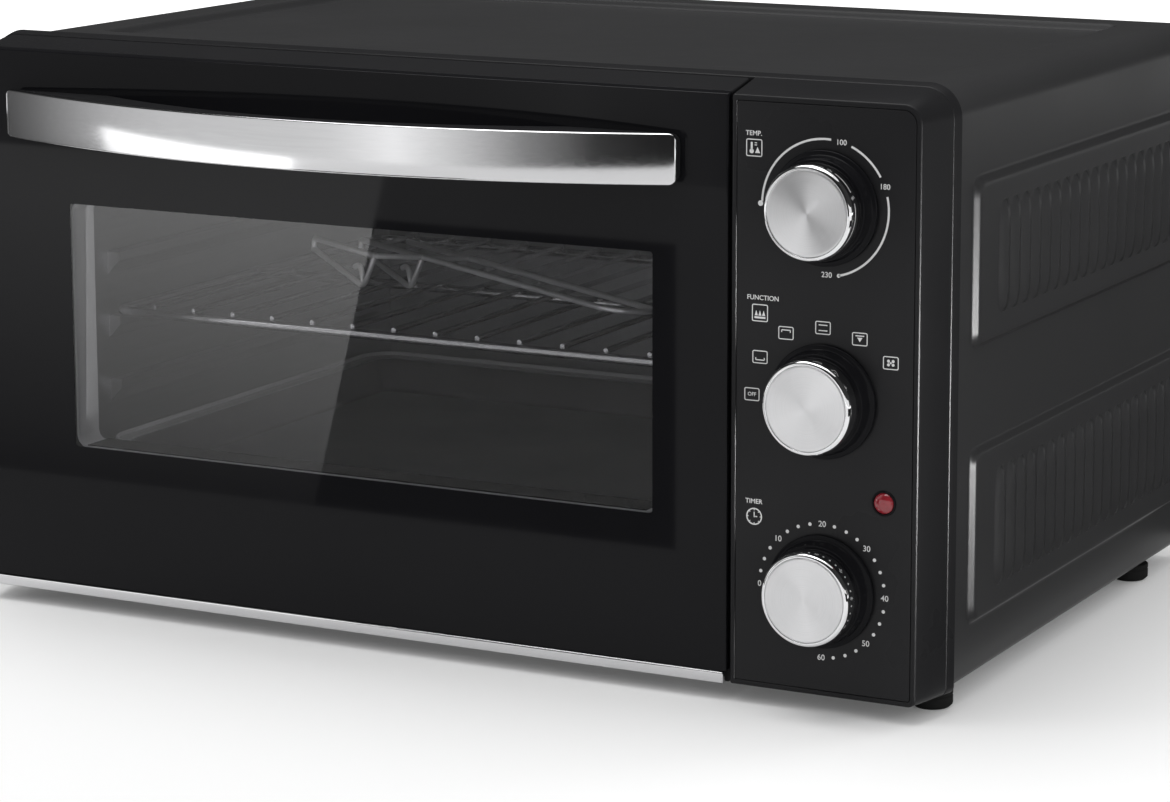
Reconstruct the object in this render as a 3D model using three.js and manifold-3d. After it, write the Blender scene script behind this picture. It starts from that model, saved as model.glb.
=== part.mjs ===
// A convection countertop oven: a steel case with louvred and embossed sides, a drop-down glass door
// and three knobs. Millimetres, +X to the oven's right, +Y to its back, +Z up. The origin is on the
// table under the oven's middle.
// Inside the group, y is measured from the front plane of the door and the control panel.

import * as THREE from 'three';
import { mergeVertices } from 'three/addons/utils/BufferGeometryUtils.js';
import Module from 'manifold-3d';

const wasm = await Module();
wasm.setup();

// Free space between two pieces that touch, and how far a cutting shape runs past what it cuts.
const GAP = 0.3;
const OVERRUN = 1;
const MERGE_DISTANCE = 0.0001;

// Steps along round outlines, which are counts and not lengths.
const CORNER_STEPS = 3;
const WIRE_SIDES = 6;
const ROUND_SIDES = 14;
const KNOB_SIDES = 24;
const ARC_STEPS = 16;

// The front: a door and a control panel side by side, whose flanks flare out towards the case.
const FRONT_WIDTH = 526;
const FRONT_HEIGHT = 281;
const FRONT_LIFT = 9;
const FRONT_DEPTH = 31;
const FRONT_CORNER = 9;
const FRONT_LOW_CORNER = 4;
const FLARE = 7;
const PANEL_WIDTH = 95;
const DOOR_SEAM = 2;
const SHARP_CORNER = 1;
const FRONT_LEFT = -FRONT_WIDTH / 2;
const FRONT_RIGHT = FRONT_WIDTH / 2;
const FRONT_TOP = FRONT_LIFT + FRONT_HEIGHT;
const PANEL_LEFT = FRONT_RIGHT - PANEL_WIDTH;
const DOOR_RIGHT = PANEL_LEFT - DOOR_SEAM;

// The case: one bent sheet over both sides and the top, with feet under a base plate.
const SHEET = 1.2;
const CASE_STEP = 3;
const CASE_RISE = 1;
const CASE_LIFT = FRONT_LIFT + CASE_RISE;
const CASE_DEPTH = 337;
const CASE_CORNER = 14;
const CASE_LOW_CORNER = 4;
const CASE_FLANGE = 12;
const REAR_FLANGE = 8;
const CASE_HALF = FRONT_WIDTH / 2 + FLARE - CASE_STEP;
const CASE_TOP = FRONT_TOP + FLARE - CASE_STEP;
const CASE_FRONT = FRONT_DEPTH + GAP;
const CASE_BACK = CASE_FRONT + CASE_DEPTH;
const CASE_INNER = CASE_HALF - SHEET - GAP;
const BASE_HALF = CASE_HALF - CASE_LOW_CORNER - GAP;

// The shallow tray pressed into the top of the case.
const RECESS_DEPTH = 4;
const RECESS_MARGIN = 34;
const RECESS_FRONT_MARGIN = 35.4;
const RECESS_BACK_MARGIN = 21.1;
const RECESS_FRONT = CASE_FRONT + RECESS_FRONT_MARGIN;
const RECESS_BACK = CASE_BACK - RECESS_BACK_MARGIN;
const RECESS_CORNER = 8;

// The two raised fields on each side of the case and the louvres pressed into them.
const FIELD_RISE = 3;
const FIELD_FRONT_MARGIN = 20.7;
const FIELD_BACK_MARGIN = 16.3;
const FIELD_TOP_MARGIN = 43;
const FIELD_LOW_MARGIN = 26;
const FIELD_SPACING = 47;
const LOWER_FIELD_EXTRA = 4;
const FIELD_CORNER = 8;
const LOUVRE_PITCH = 13.5;
const LOUVRE_END_ROOM = 14;
const LOUVRE_FRONT_ROOM = 34.4;
const LOUVRE_WIDTH = 8.4;
const LOUVRE_RISE = 2.8;
const LOUVRE_SHEET = 0.7;
const LOUVRE_FULL_SHARE = 0.55;
const FIELD_FRONT = CASE_FRONT + FIELD_FRONT_MARGIN;
const FIELD_BACK = CASE_BACK - FIELD_BACK_MARGIN;
const UPPER_FIELD_HIGH = CASE_TOP - FIELD_TOP_MARGIN;
const LOWER_FIELD_LOW = CASE_LIFT + FIELD_LOW_MARGIN;
const FIELDS_HEIGHT = UPPER_FIELD_HIGH - LOWER_FIELD_LOW - FIELD_SPACING;
const UPPER_FIELD_LOW = UPPER_FIELD_HIGH - (FIELDS_HEIGHT - LOWER_FIELD_EXTRA) / 2;
const LOWER_FIELD_HIGH = UPPER_FIELD_LOW - FIELD_SPACING;
const LOUVRE_FIRST_BACK = FIELD_FRONT + LOUVRE_FRONT_ROOM;
const LOUVRE_RUN = FIELD_BACK - FIELD_CORNER - LOUVRE_FIRST_BACK;
const LOUVRE_COUNT = Math.floor(LOUVRE_RUN / LOUVRE_PITCH) + 1;

// The four feet: the right pair stands flush with the case, the left pair further in.
const FOOT_RADIUS = 10;
const FOOT_TOE_RADIUS = 8.4;
const FOOT_COLLAR_RADIUS = 4.5;
const FOOT_STEM_RADIUS = 3;
const FOOT_STEM_LENGTH = 5;
const FOOT_STEM_TOP = CASE_LIFT + FOOT_STEM_LENGTH;
const FOOT_RIGHT_INSET = 11;
const FOOT_LEFT_INSET = 38;
const FOOT_FRONT_INSET = 6.7;
const FOOT_BACK_INSET = 56.3;
const FOOT_FRONT_Y = CASE_FRONT + FOOT_FRONT_INSET;
const FOOT_BACK_Y = CASE_BACK - FOOT_BACK_INSET;

// The cooking space and its walls.
const CAVITY_LEFT_INSET = 37;
const CAVITY_RIGHT_INSET = 19;
const CAVITY_LOW_INSET = 21;
const CAVITY_TOP_INSET = 28;
const CAVITY_BACK_INSET = 18.3;
const CAVITY_LEFT = FRONT_LEFT + CAVITY_LEFT_INSET;
const CAVITY_RIGHT = DOOR_RIGHT - CAVITY_RIGHT_INSET;
const CAVITY_LOW = FRONT_LIFT + CAVITY_LOW_INSET;
const CAVITY_HIGH = FRONT_TOP - CAVITY_TOP_INSET;
const CAVITY_BACK = CASE_BACK - CAVITY_BACK_INSET;
const CAVITY_CORNER = 5;
const FRAME_SHEET = 1.6;
const FRAME_FRONT = 24.5;
const FRAME_BACK_FACE = FRAME_FRONT + FRAME_SHEET;
const CAVITY_FRONT = FRAME_BACK_FACE + GAP;

// The ridges that carry the rack and the tray, pressed into both side walls.
const GUIDE_PITCH = 34;
const GUIDE_FIRST_HEIGHT = 40;
const GUIDE_FIRST_Z = CAVITY_LOW + GUIDE_FIRST_HEIGHT;
const GUIDE_COUNT = 4;
const GUIDE_HEIGHT = 13;
const GUIDE_REACH = 7;
const GUIDE_FLAT = 5;
const GUIDE_FRONT_INSET = 35.6;
const GUIDE_BACK_INSET = 20;
const GUIDE_FRONT = CAVITY_FRONT + GUIDE_FRONT_INSET;
const GUIDE_BACK = CAVITY_BACK - GUIDE_BACK_INSET;
const TRAY_GUIDE_Z = GUIDE_FIRST_Z;
const RACK_GUIDE_Z = GUIDE_FIRST_Z + 2 * GUIDE_PITCH;

// The wire rack.
const RACK_WIRE_RADIUS = 2.5;
const RACK_THIN_RADIUS = 1.5;
const RACK_SIDE_ROOM = 1.5;
const RACK_FRONT_INSET = 35.6;
const RACK_BACK_INSET = 15;
const RACK_FRONT = CAVITY_FRONT + RACK_FRONT_INSET;
const RACK_BACK = CAVITY_BACK - RACK_BACK_INSET;
const RACK_CORNER = 10;
const RACK_THIN_COUNT = 14;
const RACK_WELD = 0.6;

// The baking tray.
const TRAY_SHEET = 1.2;
const TRAY_SIDE_ROOM = 1.5;
const TRAY_FRONT_INSET = 23.6;
const TRAY_BACK_INSET = 18;
const TRAY_FRONT = CAVITY_FRONT + TRAY_FRONT_INSET;
const TRAY_BACK = CAVITY_BACK - TRAY_BACK_INSET;
const TRAY_DEPTH = 20;
const TRAY_TAPER = 4;
const TRAY_CORNER = 12;
const TRAY_BODY_ROOM = 2;
const TRAY_BEAD = 2.4;

// The door: a full glass front, a moulded frame, and a bright inner panel round the window.
const DOOR_BACK = 22.5;
const DOOR_DROP = 0.6;
const DOOR_LOW = FRONT_LIFT - DOOR_DROP;
const DOOR_WALL = 3;
const GLASS_THICKNESS = 4;
const STRIP_HEIGHT = 5.6;
const STRIP_PROUD = 0.5;
const STRIP_END_ROOM = 1.5;
const WINDOW_LEFT_INSET = 57.2;
const WINDOW_RIGHT_INSET = 39.2;
const WINDOW_LOW_INSET = 78.3;
const WINDOW_TOP_INSET = 76.7;
const WINDOW_LEFT = FRONT_LEFT + WINDOW_LEFT_INSET;
const WINDOW_RIGHT = DOOR_RIGHT - WINDOW_RIGHT_INSET;
const WINDOW_LOW = FRONT_LIFT + WINDOW_LOW_INSET;
const WINDOW_HIGH = FRONT_TOP - WINDOW_TOP_INSET;
const WINDOW_CORNER = 5;
const INNER_PANEL_RISE = 20.6;
const INNER_PANEL_LOW = DOOR_LOW + INNER_PANEL_RISE;
const INNER_PANEL_BACK = DOOR_BACK - GAP;
const INNER_BEAD_WIDTH = 6;
const INNER_BEAD_DEPTH = 2;
const INNER_BEAD_MARGIN = 14;

// The two door hinges: a bracket that reaches out of the front frame, and a pin across the door's notch.
const HINGE_Y = 11;
const HINGE_RISE = 6;
const HINGE_LEFT_INSET = 38;
const HINGE_RIGHT_INSET = 31;
const HINGE_Z = DOOR_LOW + HINGE_RISE;
const HINGE_LEFT_X = FRONT_LEFT + HINGE_LEFT_INSET;
const HINGE_RIGHT_X = DOOR_RIGHT - HINGE_RIGHT_INSET;
const PIN_RADIUS = 2.5;
const PIN_HALF_LENGTH = 8.7;
const BRACKET_THICKNESS = 6;
const BRACKET_NOSE_RADIUS = 5.2;
const BRACKET_ARM_RISE = 3.4;
const BRACKET_FOOT_HALF_WIDTH = 12;
const BRACKET_FOOT_RISE = 2;
const BRACKET_FOOT_HEIGHT = 16;
const BRACKET_FOOT_LOW = FRONT_LIFT + BRACKET_FOOT_RISE;
const BRACKET_FOOT_HIGH = BRACKET_FOOT_LOW + BRACKET_FOOT_HEIGHT;
const BRACKET_FOOT_THICKNESS = 2;
const NOTCH_ROOM = 1;
const NOTCH_RADIUS = 8;
const BOSS_HALF_WIDTH = 13;
const BOSS_HEIGHT = 18.6;
const BOSS_TOP = DOOR_LOW + BOSS_HEIGHT;

// The handle: a bowed metal bar with a black body behind it that leaves a finger gap.
const HANDLE_END_INSET = 23.5;
const HANDLE_X = (FRONT_LEFT + DOOR_RIGHT) / 2;
const HANDLE_HALF_LENGTH = (DOOR_RIGHT - FRONT_LEFT) / 2 - HANDLE_END_INSET;
const HANDLE_REACH = 46;
const HANDLE_END_REACH = 6;
const HANDLE_TOP_INSET = 19.2;
const HANDLE_HEIGHT = 24.5;
const HANDLE_HIGH = FRONT_TOP - HANDLE_TOP_INSET;
const HANDLE_LOW = HANDLE_HIGH - HANDLE_HEIGHT;
const HANDLE_CORNER = 4;
const BAR_THICKNESS = 2;
const BODY_THICKNESS = 12.7;
const BODY_SHY = 0.8;
const FINGER_END_LENGTH = 60;
const FINGER_HALF_LENGTH = HANDLE_HALF_LENGTH - FINGER_END_LENGTH;

// The control panel and its printed overlay.
const PANEL_WALL = 2.4;
const PANEL_BACK = FRAME_FRONT - GAP;
const OVERLAY_THICKNESS = 0.8;
const OVERLAY_MARGIN = 2.5;

// The knobs and what each one turns.
const KNOB_INSET = 47.6;
const KNOB_TOP_INSET = 49.8;
const KNOB_LOW_INSET = 50.6;
const KNOB_X = FRONT_RIGHT - KNOB_INSET;
const KNOB_TOP_Z = FRONT_TOP - KNOB_TOP_INSET;
const KNOB_LOW_Z = FRONT_LIFT + KNOB_LOW_INSET;
const KNOB_PITCH = (KNOB_TOP_Z - KNOB_LOW_Z) / 2;
const KNOB_SKIRT_RADIUS = 27;
const KNOB_SKIRT_HEIGHT = 2.4;
const KNOB_BASE_RADIUS = 24.8;
const KNOB_FACE_RADIUS = 22.2;
const KNOB_EDGE = 1;
const KNOB_REACH = 20;
const KNOB_WALL = 3;
const KNOB_HUB_RADIUS = 6;
const CAP_RADIUS = 20.6;
const CAP_THICKNESS = 1.8;
const CAP_PROUD = 0.6;
const CAP_EDGE = 0.8;
const SHAFT_RADIUS = 3;
const SHAFT_FLAT = 2.1;
const BUSHING_RADIUS = 4.8;
const BUSHING_FRONT = 14;
const CONTROL_DEPTH = 30;
const CONTROL_HALF_WIDTH = 20;
const CONTROL_HALF_HEIGHT = 16;
const CONTROL_BORE_DEPTH = 12;
const SWITCH_DEPTH = 36;
const SWITCH_WAFER = 3;
const TIMER_RADIUS = 25;
const TIMER_DEPTH = 42;
const BULB_RADIUS = 5;
const BULB_LENGTH = 26;

// The small round signal lamp on the panel.
const LENS_INSET = 16.5;
const LENS_X = FRONT_RIGHT - LENS_INSET;
const LENS_Z = KNOB_LOW_Z + KNOB_PITCH / 2;
const LENS_RADIUS = 5;
const LENS_PROUD = 2.4;
const LENS_LENGTH = 9;
const LENS_DOME_SHARES = [[0, 1], [0.55, 0.85], [0.9, 0.4], [1, 0]];
const LAMP_WALL = 1.4;

// The two tube heaters and the plates that hold them to the right wall.
const HEATER_RADIUS = 3.5;
const HEATER_FRONT_INSET = 78.6;
const HEATER_BACK_INSET = 75;
const HEATER_LEFT_INSET = 21;
const HEATER_CLEARANCE = 13;
const HEATER_FRONT_Y = CAVITY_FRONT + HEATER_FRONT_INSET;
const HEATER_BACK_Y = CAVITY_BACK - HEATER_BACK_INSET;
const HEATER_BEND = 24;
const HEATER_LEFT = CAVITY_LEFT + HEATER_LEFT_INSET;
const HEATER_TAIL = 22;
const UPPER_HEATER_Z = CAVITY_HIGH - HEATER_CLEARANCE;
const LOWER_HEATER_Z = CAVITY_LOW + HEATER_CLEARANCE;
const HEATER_PLATE_MARGIN = 9;
const HEATER_PLATE_HALF_HEIGHT = 8;
const HEATER_BEND_STEPS = 4;

// The convection fan behind the right wall.
const FAN_BACK_INSET = 150;
const FAN_Y = CAVITY_BACK - FAN_BACK_INSET;
const FAN_Z = RACK_GUIDE_Z;
const FAN_HOUSING_ROOM = 31;
const BETWEEN_HEATERS = UPPER_HEATER_Z - LOWER_HEATER_Z;
const FAN_HOUSING_RADIUS = BETWEEN_HEATERS / 2 - HEATER_PLATE_HALF_HEIGHT - FAN_HOUSING_ROOM;
const FAN_HOUSING_DEPTH = 27;
const FAN_WHEEL_ROOM = 12;
const FAN_WHEEL_RADIUS = FAN_HOUSING_RADIUS - FAN_WHEEL_ROOM;
const FAN_HUB_RADIUS = 9;
const FAN_DISC = 1.5;
const FAN_BLADE_DEPTH = 12;
const FAN_BLADE_THICKNESS = 1.5;
const FAN_BLADE_COUNT = 10;
const FAN_WHEEL_CLEARANCE = 5;
const FAN_SHAFT_RADIUS = 3;
const FAN_SHAFT_DEPTH = 14;
const MOTOR_RADIUS = 27;
const MOTOR_LENGTH = 38;
const MOTOR_TAIL = 3;
const VENT_HEIGHT = 14;
const VENT_WIDTH = 6;
const VENT_PITCH = 14;
const VENT_COUNT = 9;
const VENT_MARGIN = 4;
const VENT_FIELD_RADIUS = FAN_HOUSING_RADIUS - VENT_MARGIN;

// The base plate's and the rear panel's air slots, and the lead's rubber bush.
const SLOT_WIDTH = 4;
const SLOT_LENGTH = 34;
const SLOT_PITCH = 12;
const REAR_SLOT_COUNT = 10;
const REAR_SLOT_LOW_INSET = 57;
const REAR_SLOT_TOP_INSET = 68;
const REAR_SLOT_LOW_Z = FRONT_LIFT + REAR_SLOT_LOW_INSET;
const REAR_SLOT_HIGH_Z = FRONT_TOP - REAR_SLOT_TOP_INSET;
const BASE_SLOT_COUNT = 6;
const BASE_SLOT_FRONT_INSET = 88.7;
const BASE_SLOT_BACK_INSET = 118.3;
const BASE_SLOT_FRONT_Y = CASE_FRONT + BASE_SLOT_FRONT_INSET;
const BASE_SLOT_BACK_Y = CASE_BACK - BASE_SLOT_BACK_INSET;
const SLOT_FIRST_X = -SLOT_PITCH * REAR_SLOT_COUNT / 2;
const GLAND_INSET = 58;
const GLAND_RISE = 34;
const GLAND_X = FRONT_RIGHT - GLAND_INSET;
const GLAND_Z = CASE_LIFT + GLAND_RISE;
const GLAND_NECK_RADIUS = 6;
const GLAND_FLANGE_RADIUS = 9.5;
const GLAND_FLANGE = 3;
const GLAND_REACH = 9;
const GLAND_NOSE_RADIUS = 7;
const GLAND_BORE_RADIUS = 3.6;

// The lifting fork for hot trays, which lies on the rack.
const FORK_WIRE_RADIUS = 1.9;
const FORK_SHORTER = 111;
const FORK_GRIP_LENGTH = CAVITY_RIGHT - CAVITY_LEFT - FORK_SHORTER;
const FORK_SPACING = 29;
const FORK_TINE_LENGTH = 60;
const FORK_TINE_DROP = 10.6;
const FORK_RISE = 18;
const FORK_RISER_RUN = 10;
const FORK_HOOK_REACH = 12;
const FORK_HOOK_RISE = 9;
const FORK_BEND = 5;
const FORK_LEFT_INSET = 74;
const FORK_FRONT_INSET = 134;
const FORK_X = CAVITY_LEFT + FORK_LEFT_INSET;
const FORK_Y = RACK_FRONT + FORK_FRONT_INSET;
const FORK_TURN_DEGREES = -30.6;
const FORK_TILT_DEGREES = 6.5;
const FORK_SETTLE = 0.8;

// Solids: each is a closed mesh, with the directions of its outline's plane given by the axis it runs along.

const DIRECTIONS = {
  x: [new THREE.Vector3(0, 1, 0), new THREE.Vector3(0, 0, 1), new THREE.Vector3(1, 0, 0)],
  y: [new THREE.Vector3(1, 0, 0), new THREE.Vector3(0, 0, 1), new THREE.Vector3(0, 1, 0)],
  z: [new THREE.Vector3(1, 0, 0), new THREE.Vector3(0, 1, 0), new THREE.Vector3(0, 0, 1)],
};

// Turns a closed geometry into a solid, with its faces pointing out.
function solid(geometry) {
  const bare = geometry.clone();
  bare.deleteAttribute('normal');
  bare.deleteAttribute('uv');
  const merged = mergeVertices(bare, MERGE_DISTANCE);
  const position = merged.attributes.position;
  const corner = (index) => new THREE.Vector3().fromBufferAttribute(position, index);
  const faces = [];
  let volume = 0;
  for (let start = 0; start < merged.index.count; start += 3) {
    const [a, b, c] = [0, 1, 2].map((step) => merged.index.getX(start + step));
    if (a !== b && b !== c && c !== a) {
      faces.push([a, b, c]);
      volume += corner(a).dot(corner(b).cross(corner(c)));
    }
  }
  const outward = volume > 0 ? faces : faces.map(([a, b, c]) => [a, c, b]);
  const vertProperties = new Float32Array(position.array);
  const triVerts = new Uint32Array(outward.flat());
  return new wasm.Manifold(new wasm.Mesh({ numProp: 3, vertProperties, triVerts }));
}

function join(first, ...others) {
  return others.reduce((whole, other) => whole.add(other), first);
}

function cut(body, ...tools) {
  return tools.reduce((rest, tool) => rest.subtract(tool), body);
}

function box(x0, x1, y0, y1, z0, z1) {
  const block = new THREE.BoxGeometry(x1 - x0, y1 - y0, z1 - z0);
  block.translate((x0 + x1) / 2, (y0 + y1) / 2, (z0 + z1) / 2);
  return solid(block);
}

// Points along an arc, from one angle to another.
function arcPoints(x, y, radius, from, to, steps) {
  const points = [];
  for (let step = 0; step <= steps; step += 1) {
    const angle = from + (to - from) * step / steps;
    points.push(new THREE.Vector2(x + radius * Math.cos(angle), y + radius * Math.sin(angle)));
  }
  return points;
}

// A rectangle with its own radius at each corner: low left, low right, high right, high left.
function roundedOutline(left, right, low, high, radii) {
  const [lowLeft, lowRight, highRight, highLeft] = radii;
  const quarter = Math.PI / 2;
  return [
    ...arcPoints(left + lowLeft, low + lowLeft, lowLeft, 2 * quarter, 3 * quarter, CORNER_STEPS),
    ...arcPoints(right - lowRight, low + lowRight, lowRight, 3 * quarter, 4 * quarter, CORNER_STEPS),
    ...arcPoints(right - highRight, high - highRight, highRight, 0, quarter, CORNER_STEPS),
    ...arcPoints(left + highLeft, high - highLeft, highLeft, quarter, 2 * quarter, CORNER_STEPS),
  ];
}

function evenOutline(left, right, low, high, radius) {
  return roundedOutline(left, right, low, high, [radius, radius, radius, radius]);
}

// An outline pushed straight along an axis.
function prism(axis, outline, from, to) {
  const depth = to - from;
  const geometry = new THREE.ExtrudeGeometry(new THREE.Shape(outline), { depth, bevelEnabled: false });
  const [across, up, along] = DIRECTIONS[axis];
  geometry.translate(0, 0, from);
  geometry.applyMatrix4(new THREE.Matrix4().makeBasis(across, up, along));
  return solid(geometry);
}

// A closed solid through outlines of the same number of points, each at its own place along an axis.
function loft(axis, sections) {
  const [across, up, along] = DIRECTIONS[axis];
  const count = sections[0].outline.length;
  const places = sections.flatMap(({ at, outline }) => outline.map((point) => new THREE.Vector3()
    .addScaledVector(across, point.x).addScaledVector(up, point.y).addScaledVector(along, at)));
  const faces = [];
  for (let section = 0; section < sections.length - 1; section += 1) {
    for (let side = 0; side < count; side += 1) {
      const a = section * count + side;
      const b = section * count + (side + 1) % count;
      faces.push(a, b, a + count, b, b + count, a + count);
    }
  }
  const size = (section) => Math.abs(THREE.ShapeUtils.area(section.outline));
  const widest = sections.reduce((best, section) => (size(section) > size(best) ? section : best));
  const ends = THREE.ShapeUtils.triangulateShape(widest.outline.map((point) => point.clone()), []);
  const last = (sections.length - 1) * count;
  ends.forEach((corners) => {
    const [a, b, c] = corners.sort((one, other) => one - other);
    faces.push(a, c, b, last + a, last + b, last + c);
  });
  const geometry = new THREE.BufferGeometry().setFromPoints(places);
  geometry.setIndex(faces);
  return solid(geometry);
}

// A round bar along an axis, at a place given by the two other coordinates in their usual order.
function rod(axis, first, second, radius, from, to, sides = ROUND_SIDES) {
  const [across, up, along] = DIRECTIONS[axis];
  const geometry = new THREE.CylinderGeometry(radius, radius, to - from, sides);
  geometry.rotateX(Math.PI / 2);
  geometry.translate(first, second, (from + to) / 2);
  geometry.applyMatrix4(new THREE.Matrix4().makeBasis(across, up, along));
  return solid(geometry);
}

// A turned piece about a line along Y; the profile's points are a radius and a y.
function turned(x, z, profile, sides) {
  const points = profile.map(([radius, y]) => new THREE.Vector2(radius, y));
  const geometry = new THREE.LatheGeometry(points, sides);
  geometry.translate(x, 0, z);
  return solid(geometry);
}

// A path of straight runs with a rounded bend at each inner point.
function bentPath(points, bend, steps) {
  const stops = [points[0]];
  for (let index = 1; index < points.length - 1; index += 1) {
    const corner = points[index];
    const toBefore = points[index - 1].clone().sub(corner).normalize();
    const toAfter = points[index + 1].clone().sub(corner).normalize();
    const start = corner.clone().addScaledVector(toBefore, bend);
    const end = corner.clone().addScaledVector(toAfter, bend);
    const curve = new THREE.QuadraticBezierCurve3(start, corner, end);
    stops.push(...curve.getPoints(steps));
  }
  stops.push(points[points.length - 1]);
  return stops;
}

// A wire's centre line, sampled at its own stops so that the bends get the steps.
class WirePath extends THREE.Curve {
  constructor(stops) {
    super();
    this.stops = stops;
  }

  getPoint(share, target = new THREE.Vector3()) {
    const place = share * (this.stops.length - 1);
    const before = Math.min(Math.floor(place), this.stops.length - 2);
    return target.lerpVectors(this.stops[before], this.stops[before + 1], place - before);
  }

  getPointAt(share, target) {
    return this.getPoint(share, target);
  }

  getTangentAt(share, target = new THREE.Vector3()) {
    const index = Math.round(share * (this.stops.length - 1));
    const before = this.stops[Math.max(index - 1, 0)];
    const after = this.stops[Math.min(index + 1, this.stops.length - 1)];
    return target.subVectors(after, before).normalize();
  }
}

function wire(stops, radius) {
  const section = new THREE.Shape(arcPoints(0, 0, radius, 0, Math.PI * 2, WIRE_SIDES).slice(0, WIRE_SIDES));
  const extrudePath = new WirePath(stops);
  return solid(new THREE.ExtrudeGeometry(section, { steps: stops.length - 1, extrudePath }));
}

// A closed wire that lies level and follows an outline.
function wireRing(outline, height, radius) {
  const count = outline.length;
  const places = [];
  const faces = [];
  outline.forEach((point, index) => {
    const before = outline[(index + count - 1) % count];
    const after = outline[(index + 1) % count];
    const run = new THREE.Vector2().subVectors(after, before).normalize();
    for (let side = 0; side < WIRE_SIDES; side += 1) {
      const angle = Math.PI * 2 * side / WIRE_SIDES;
      const out = radius * Math.cos(angle);
      const up = radius * Math.sin(angle);
      places.push(new THREE.Vector3(point.x + run.y * out, point.y - run.x * out, height + up));
      const a = index * WIRE_SIDES + side;
      const b = index * WIRE_SIDES + (side + 1) % WIRE_SIDES;
      const total = count * WIRE_SIDES;
      faces.push(a, b, (a + WIRE_SIDES) % total, b, (b + WIRE_SIDES) % total, (a + WIRE_SIDES) % total);
    }
  });
  const geometry = new THREE.BufferGeometry().setFromPoints(places);
  geometry.setIndex(faces);
  return solid(geometry);
}

// A solid whose outline shrinks as fast as it rises, as pressed sheet does. It is sunk past its base
// by the given depth.
function pressed(axis, rim, base, tip, sunk) {
  const direction = Math.sign(tip - base);
  const [left, right, low, high, corner] = rim;
  const grown = evenOutline(left - sunk, right + sunk, low - sunk, high + sunk, corner + sunk);
  const rise = Math.abs(tip - base);
  const raised = evenOutline(left + rise, right - rise, low + rise, high - rise, corner - rise);
  return loft(axis, [{ at: base - direction * sunk, outline: grown }, { at: tip, outline: raised }]);
}

function grownRim([left, right, low, high, corner], by) {
  return [left - by, right + by, low - by, high + by, corner + by];
}

const oven = new THREE.Group();
const doorGroup = new THREE.Group();
oven.add(doorGroup);

// Gives a solid its name and finish, and puts it into a group.
function add(group, name, body, color, roughness, metalness) {
  const { vertProperties, triVerts } = body.getMesh();
  const geometry = new THREE.BufferGeometry();
  geometry.setAttribute('position', new THREE.BufferAttribute(new Float32Array(vertProperties), 3));
  geometry.setIndex(new THREE.BufferAttribute(new Uint32Array(triVerts), 1));
  geometry.computeVertexNormals();
  const material = new THREE.MeshStandardMaterial({ color, roughness, metalness, flatShading: true });
  const mesh = new THREE.Mesh(geometry, material);
  mesh.name = name;
  group.add(mesh);
}

const BLACK_PAINT = 0x2c2d30;
const BLACK_PLASTIC = 0x1b1b1e;
const SATIN_SILVER = 0xb9babd;
const BRIGHT_STEEL = 0xc4c4c6;
const GREY_STEEL = 0x8d9095;

// How far the flanks stand out at a place behind the front plane.
function flareAt(y) {
  return FLARE * Math.max(y, 0) / FRONT_DEPTH;
}

// The whole front's outline at a depth, drawn in by a margin.
function frontOutline(y, margin = 0) {
  const flare = flareAt(y) - margin;
  const corner = FRONT_CORNER + flare;
  const lowCorner = Math.max(FRONT_LOW_CORNER - margin, SHARP_CORNER);
  const radii = [lowCorner, lowCorner, corner, corner];
  const left = FRONT_LEFT - flare;
  const right = FRONT_RIGHT + flare;
  return roundedOutline(left, right, FRONT_LIFT + margin, FRONT_TOP + flare, radii);
}

// The door's outline at a depth: it flares at its top and its left.
function doorOutline(y, low, margin = 0) {
  const flare = flareAt(y) - margin;
  const corner = FRONT_CORNER + flare;
  const lowCorner = Math.max(FRONT_LOW_CORNER - margin, SHARP_CORNER);
  const radii = [lowCorner, SHARP_CORNER, SHARP_CORNER, corner];
  return roundedOutline(FRONT_LEFT - flare, DOOR_RIGHT - margin, low + margin, FRONT_TOP + flare, radii);
}

// The control panel's outline at a depth: it flares at its top and its right.
function panelOutline(y, margin = 0) {
  const flare = flareAt(y) - margin;
  const corner = FRONT_CORNER + flare;
  const lowCorner = Math.max(FRONT_LOW_CORNER - margin, SHARP_CORNER);
  const radii = [SHARP_CORNER, lowCorner, corner, SHARP_CORNER];
  const right = FRONT_RIGHT + flare;
  return roundedOutline(PANEL_LEFT + margin, right, FRONT_LIFT + margin, FRONT_TOP + flare, radii);
}

// One louvre on a side wall: half a lens, pressed out of the sheet, with its slit towards the back.
function louvre(side, face, back, middle, length, thinner, sunk, overshoot) {
  const half = length / 2 - thinner;
  const tallShares = [[-1, 0], [-LOUVRE_FULL_SHARE, 1], [LOUVRE_FULL_SHARE, 1], [1, 0]];
  const sections = tallShares.map(([lengthShare, riseShare]) => {
    const front = back - (LOUVRE_WIDTH - thinner) * riseShare;
    const rear = back + overshoot;
    const crest = side * (face + (LOUVRE_RISE - thinner) * riseShare);
    const foot = side * (face - sunk);
    return {
      at: middle + half * lengthShare,
      outline: [
        new THREE.Vector2(side * face, front),
        new THREE.Vector2(crest, rear),
        new THREE.Vector2(foot, rear),
        new THREE.Vector2(foot, front),
      ],
    };
  });
  return loft('z', sections);
}

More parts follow.
